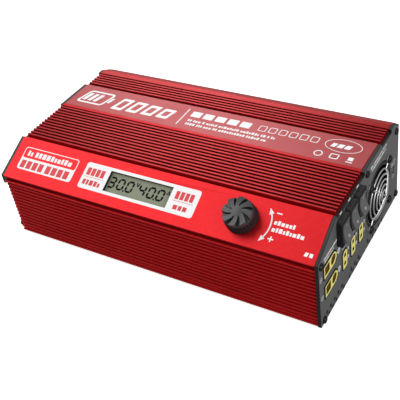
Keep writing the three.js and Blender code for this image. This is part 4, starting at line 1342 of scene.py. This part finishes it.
@dataclass
class Knob:
    """The control knob: a ribbed grip with a cap of eight turbine blades round a smooth hub."""

    housing: Housing
    radius: float = 11.2
    height: float = 12.1
    blades: int = 8
    ribs: int = 32
    hub: float = 3.6
    foot: float = 0.65
    grip_top: float = 8.4
    sides: int = 256

    def build(self) -> None:
        """Makes the grip and the cap."""
        base = Vector(joint("knob_turn")["pos_m"])
        plane = Plane(base, self.housing.face.u, self.housing.face.v)
        dress(self.grip(plane), KNOB_PLASTIC, "knob", ["control_knob"])
        # The cap's lighter grey than the grip is painted light on the top.
        dress(self.cap(plane), KNOB_CAP_PAINTED_LIGHT, "knob")
        coat_node("knob_shaft", NICKEL)
        coat_node("potentiometer", NICKEL)

    def loop(
        self, plane: Plane, radius: Callable[[float], float], out: Callable[[float], float]
    ) -> list[Vector]:
        """A closed loop whose radius and height follow the angle, given in turns."""
        points = []
        for i, angle in enumerate(even_turns(self.sides)):
            share = i / self.sides
            r = radius(share)
            points.append(plane.at(r * math.cos(angle), r * math.sin(angle), out(share)))
        return points

    def grip(self, plane: Plane) -> bpy.types.Object:
        """The black skirt with its ribs."""

        def ribbed(depth: float, radius: float) -> Callable[[float], float]:
            """Radius that dips between the ribs."""
            return lambda share: radius - depth * (0.5 - 0.5 * math.cos(2 * math.pi * self.ribs * share))

        r = self.radius
        skirt = [(3.4, self.foot, 0), (r - 0.4, self.foot, 0), (r, self.foot + 0.35, 0), (r, 2.0, 0)]
        ribs = [(r - 0.2, 2.3, 0.0), (r - 0.2, 2.8, 0.55), (r - 0.3, 7.4, 0.55)]
        steps = [*skirt, *ribs, (r - 0.7, self.grip_top, 0.2), (3.0, self.grip_top, 0)]
        loops = []
        for radius, out, depth in steps:
            loops.append(self.loop(plane, ribbed(depth, radius), lambda share, z=out: z))
        return rings("knob_grip", loops)

    def cap(self, plane: Plane) -> bpy.types.Object:
        """The bladed cap, whose notches widen towards the rim."""
        rim = self.radius - 0.95

        def height(share: float, reach: float) -> float:
            """Blade top, or the notch floor, at a turn share and a radius share from hub to rim."""
            wave = (share * self.blades + 0.32 * reach) % 1.0
            blade = 0.78 - 0.14 * reach
            if wave < blade:
                return self.height - 0.25 - 0.9 * reach * (1 - wave / blade)
            return self.height - 0.25 - 0.5 * reach - 2.6 * reach ** 0.5

        loops = [circle(plane, radius, self.grip_top - 0.5, self.sides) for radius in (2.0, rim)]
        loops.append(self.loop(plane, lambda share: rim, lambda share: height(share, 1) - 0.5))
        for step in range(13):
            reach = 1 - step / 12
            radius = self.hub + (rim - 0.3 - self.hub) * reach
            loops.append(self.loop(plane, lambda share, r=radius: r, lambda share, q=reach: height(share, q)))
        for radius, drop in ((3.2, 0.2), (2.2, 0.08), (1.0, 0.0), (POLE, 0.0)):
            loops.append(circle(plane, radius, self.height - drop, self.sides))
        obj = rings("knob_cap", loops)
        obj.data.set_sharp_from_angle(angle=math.radians(26))
        return obj


@dataclass
class DisplayFace:
    """The display, its surround and the marks on the sloping face."""

    housing: Housing
    lcd_u: float = -12.0
    lcd_v: float = 17.5
    lcd_width: float = 52.0
    lcd_height: float = 15.6

    def build(self) -> None:
        """Dresses the display and prints the face."""
        # Black walls inside the display opening: painted shade round the sunken glass.
        opening_shadow_width = 0.7
        glass = (self.lcd_width, self.lcd_height)
        outer = [size + 2 * opening_shadow_width for size in glass]
        loops = outlined(self.lcd_u, self.lcd_v, outer, glass)
        opening_shadow = slab("display_frame", loops, self.housing.face, -self.housing.wall, -0.02)
        dress(opening_shadow, SHADOW_GAP, stands_for=["lcd_bezel"])
        coat_node("lcd_panel", LCD_GLASS)
        coat_node("display_board", BOARD_GREEN)
        self.readings()
        self.surround()
        self.badge()
        self.turn_arrow()

    def readings(self) -> None:
        """Two three-digit readings with their unit letters, on the glass."""
        glass = self.housing.face.lifted(-self.housing.wall - 0.05)
        loops: list[Loop] = []
        middle, tall = 18.0, 9.0
        for start, text in ((-37.9, "300"), (-12.5, "400")):
            for k, name in enumerate(text):
                loops += digit(name, start + 2.9 + 7.5 * k, middle, 6.0, tall, 1.5)
            loops.append(round_box(start + 14.1, middle - tall / 2 + 0.5, 1.2, 1.2))
        volts = [(-1.5, 1.5), (-0.7, 1.5), (0, -0.6), (0.7, 1.5), (1.5, 1.5), (0.5, -1.4), (-0.5, -1.4)]
        loops.append([(u - 14.2, v + 21.0) for u, v in volts])
        amps = [(-1.6, -1.4), (-0.4, 1.5), (0.4, 1.5), (1.6, -1.4), (0.9, -1.4), (0, 0.8), (-0.9, -1.4)]
        loops += [[(u + 11.0, v + 21.0) for u, v in amps], round_box(11.0, 20.3, 1.5, 0.45)]
        printed("lcd_digits", loops, glass, LCD_INK, 0.02)

    def surround(self) -> None:
        """A white panel round the display with red block rows either side."""
        panel = outlined(self.lcd_u, self.lcd_v, (95, 20.2, 2.0), (self.lcd_width, self.lcd_height))
        printed("display_surround", panel, self.housing.face, WHITE_INK)
        above = self.housing.face.lifted(SECOND_COAT)
        red: list[Loop] = []
        for start, wide in ((-57.5, 16), (17.2, 15)):
            red += [round_box(start + wide * (k + 0.5) / 4, 20.8, wide / 4 - 0.9, 5.8) for k in range(4)]
            red.append(round_box(start + wide / 2, 16.6, wide + 1, 0.3))
        red += blocks(-57.0, 12.6, 15.5, 4.0, 41) + blocks(19.3, 12.6, 10.5, 4.2, 42)
        printed("display_surround_marks", red, above, RED_INK)

    def badge(self) -> None:
        """An outlined badge whose lower half is filled, with block rows in both halves."""
        left, right, low, high = -117.6, -67.0, 8.6, 26.9
        u, v, w, h = (left + right) / 2, (low + high) / 2, right - left, high - low
        white = [round_box(u, v, w, h, 2.0), round_box(u, v + h / 4 - 0.1, w - 1.3, h / 2 - 1.0, 1.4)]
        white += blocks(left + 4, v + h / 4 - 0.2, w - 8, 4.2, 51)
        printed("output_badge", white, self.housing.face, WHITE_INK)
        above = self.housing.face.lifted(SECOND_COAT)
        red = [round_box(left + 4.2 + 5.6 * k, v - h / 4 - 0.1, 4.2, 6.2) for k in range(4)]
        red += [round_box(left + 28 + 5.6 * k, v - h / 4 - 0.1, 4.3, 6.2) for k in range(4)]
        printed("output_badge_marks", red, above, RED_INK)

    def turn_arrow(self) -> None:
        """A curved arrow with a head at each end, a minus above and a plus below."""
        u, v, radius, reach = 71.8, 17.0, 17.4, 27
        loops = [arc_band(u, v, radius, 0.9, -reach, reach)]
        for side in (-1, 1):
            turn = math.radians(side * reach)
            across, up = radius * math.cos(turn), radius * math.sin(turn)
            tip = [(-1.7, 0), (1.7, 0), (0, 4.2 * side)]
            loops.append(turned_loop(tip, side * 31, u + across, v + up))
        loops += [round_box(92.2, 26.4, 3.8, 0.8), plus_sign(92.6, 8.9, 3.8, 0.85)]
        loops += blocks(91, 20.2, 14.5, 3.0, 61) + blocks(91, 15.4, 22.5, 3.0, 62)
        loops += [round_box(117.9, 5.7, 2.2, 2.6, 0, 0.2), round_box(121.1, 5.7, 2.2, 2.6)]
        printed("turn_arrow", loops, self.housing.face, WHITE_INK)


@dataclass
class LabelBand:
    """The printed band on top, with a plain emblem and block rows."""

    housing: Housing

    def build(self) -> None:
        """Prints the band."""
        slant, middle = 0.25, 94.3
        loops = outlined(-104, middle, (25, 17.5, 3.0), (21.5, 14, 1.8), slant)
        loops += [round_box(-112 + 5.2 * k, middle, 3.4, 10, 0.4, slant) for k in range(3)]
        loops += [round_box(-89.5, middle, 2.4, 7, 0.5, slant)]
        for k in range(4):
            taper = 1.2 * k
            loops += outlined(-77 + 13.5 * k, 93.0, (10.2, 16 - taper, 1.2), (5.0, 10 - taper, 0.6), slant)
        loops.append(round_box(-22, 94.4, 0.9, 21))
        loops += [round_box(-13 + 10.4 * k, 99.6, 8.2, 6.8, 0.6) for k in range(5)]
        for k in range(6):
            loops += outlined(42.4 + 8.1 * k, 99.6, (6.0, 6.6, 1.2), (4.8, 5.4, 0.8))
        loops += blocks(-16, 91.4, 74, 2.6, 71) + blocks(-15.5, 86.9, 67, 2.6, 72)
        loops += [disc(104.2, 98.9, 13.4, 40, 0.545), disc(104.2, 98.9, 12.9, 40, 0.535)]
        loops += blocks(96, 98.9, 16.5, 5.5, 73, 0.3)
        loops += [disc(91, 86.2, 3.2, 24), disc(91, 86.2, 2.4, 24)]
        loops += outlined(102.5, 86.2, (6.4, 5.6, 1.2), (4.8, 4.0, 0.6))
        loops += [round_box(114, 86.8, 3.6, 3.6), round_box(114, 83.2, 4.6, 0.9)]
        printed("label_print", loops, self.housing.top, WHITE_INK)


@dataclass
class MainsEnd:
    """The mains inlet on the far end."""

    housing: Housing

    def build(self) -> None:
        """Dresses the inlet and sets three metal pins in it."""
        soften_node("mains_inlet", 0.4)
        coat_node("mains_inlet", BLACK_PLASTIC)
        face = self.housing.far_end.over(middle_of("mains_inlet"))
        pieces = []
        for k, (u, v) in enumerate(((7, -1.2), (0, 2.6), (-7, -1.2))):
            blade = prism(f"inlet_pin_{k}", round_box(u, v, 2.3, 4.3), face, -15.8, -4.5)
            pieces.append(bevelled(blade, 0.5, 2))
        dress(joined("inlet_pins", pieces), NICKEL)


@dataclass
class Internals:
    """What the housing holds."""

    finishes: dict[str, Finish] = field(default_factory=lambda: {
        "main_board": BOARD_GREEN, "transformer": TAPE, "pfc_choke": COPPER, "emi_choke": COPPER,
        "output_inductor": COPPER, "bulk_capacitor_1": SLEEVE, "bulk_capacitor_2": SLEEVE,
        "output_capacitor_1": SLEEVE, "output_capacitor_2": SLEEVE, "primary_heatsink": ALUMINIUM,
        "secondary_heatsink": ALUMINIUM, "bridge_rectifier": BLACK_PLASTIC, "fuse": BLACK_PLASTIC,
    })

    def build(self) -> None:
        """Dresses every inner node."""
        for name, finish in self.finishes.items():
            coat_node(name, finish)


@dataclass
class Studio:
    """The floor, the light and the camera."""

    housing: Housing
    aim: Vector = field(default_factory=lambda: Vector((0.00938, 0.00573, 0.03605)))
    distance: float = 0.5676
    azimuth: float = 34.88
    elevation: float = 37.08
    roll: float = -8.785
    lens: float = 68.44
    shift: tuple[float, float] = (-0.0375, -0.0625)

    def build(self) -> None:
        """Sets up everything that is not the object."""
        self.camera()
        self.floor()
        self.lights()

    def camera(self) -> None:
        """A camera on the aim point, turned about its own line of sight by the roll."""
        a, e = math.radians(self.azimuth), math.radians(self.elevation)
        back = Vector((math.sin(a) * math.cos(e), -math.cos(a) * math.cos(e), math.sin(e)))
        data = bpy.data.cameras.new("camera")
        data.sensor_width = 36
        data.lens = self.lens
        data.shift_x, data.shift_y = self.shift
        data.clip_start = 0.02
        camera = link(bpy.data.objects.new("camera", data))
        turn = back.to_track_quat("Z", "Y").to_matrix() @ Matrix.Rotation(math.radians(self.roll), 3, "Z")
        aim = self.aim + Vector((self.housing.top.origin.x, 0, 0))
        camera.matrix_world = Matrix.Translation(aim + back * self.distance) @ turn.to_4x4()
        bpy.context.scene.camera = camera

    def floor(self) -> None:
        """A plain pale floor, brighter to the camera than to the light that it bounces."""
        reach = 6.0
        corners = [(a * reach, b * reach, 0) for a, b in ((-1, -1), (1, -1), (1, 1), (-1, 1))]
        floor = mesh_object("floor", corners, [(0, 1, 2, 3)], smooth=False)
        material = bpy.data.materials.new("pale_floor")
        material.use_nodes = True
        g = Graph(material.node_tree)
        seen = material.node_tree.nodes["Principled BSDF"]
        fill(seen, {"Base Color": (0.95, 0.95, 0.95, 1), "Roughness": 0.9})
        fill(seen, {"Emission Color": (1, 1, 1, 1), "Emission Strength": 0.6})
        bounced = g.add("ShaderNodeBsdfDiffuse")
        fill(bounced, {"Color": (0.28, 0.28, 0.28, 1)})
        pick = g.add("ShaderNodeMixShader")
        g.join(g.add("ShaderNodeLightPath").outputs["Is Camera Ray"], pick.inputs[0])
        g.wire(bounced, 0, pick, 1)
        g.wire(seen, 0, pick, 2)
        out = next(n for n in material.node_tree.nodes if n.type == "OUTPUT_MATERIAL")
        g.wire(pick, 0, out, "Surface")
        floor.data.materials.append(material)

    def lights(self) -> None:
        """A pale world and three softboxes."""
        world = bpy.data.worlds.new("studio")
        world.use_nodes = True
        fill(world.node_tree.nodes["Background"], {"Color": (1, 1, 1, 1), "Strength": 0.42})
        bpy.context.scene.world = world
        target = Vector((0, 0, 0.03))
        for name, place, size, power in (
            ("key_softbox", (-0.75, -0.1, 0.95), 1.1, 7.9),
            ("back_softbox", (-0.55, 0.8, 0.75), 0.5, 3.0),
            ("side_softbox", (1.0, -0.5, 0.65), 0.5, 8.0),
        ):
            data = bpy.data.lights.new(name, "AREA")
            data.size = size
            data.energy = power
            lamp = link(bpy.data.objects.new(name, data))
            lamp.location = place
            lamp.rotation_euler = (Vector(place) - target).to_track_quat("Z", "Y").to_euler()


def main() -> None:
    """Builds every sub-assembly in order."""
    bpy.context.scene.view_settings.view_transform = "Standard"
    housing = Housing()
    builders: list[Callable[[], None]] = [
        Studio(housing).build,
        Shells().build,
        EndPlates(housing).build,
        Screws().build,
        FanUnit(housing).build,
        Rockers().build,
        Sockets(housing).build,
        Knob(housing).build,
        DisplayFace(housing).build,
        LabelBand(housing).build,
        MainsEnd(housing).build,
        Internals().build,
    ]
    for build in builders:
        log.info("building %s", build.__qualname__.split(".")[0])
        build()


if __name__ == "__main__":
    main()
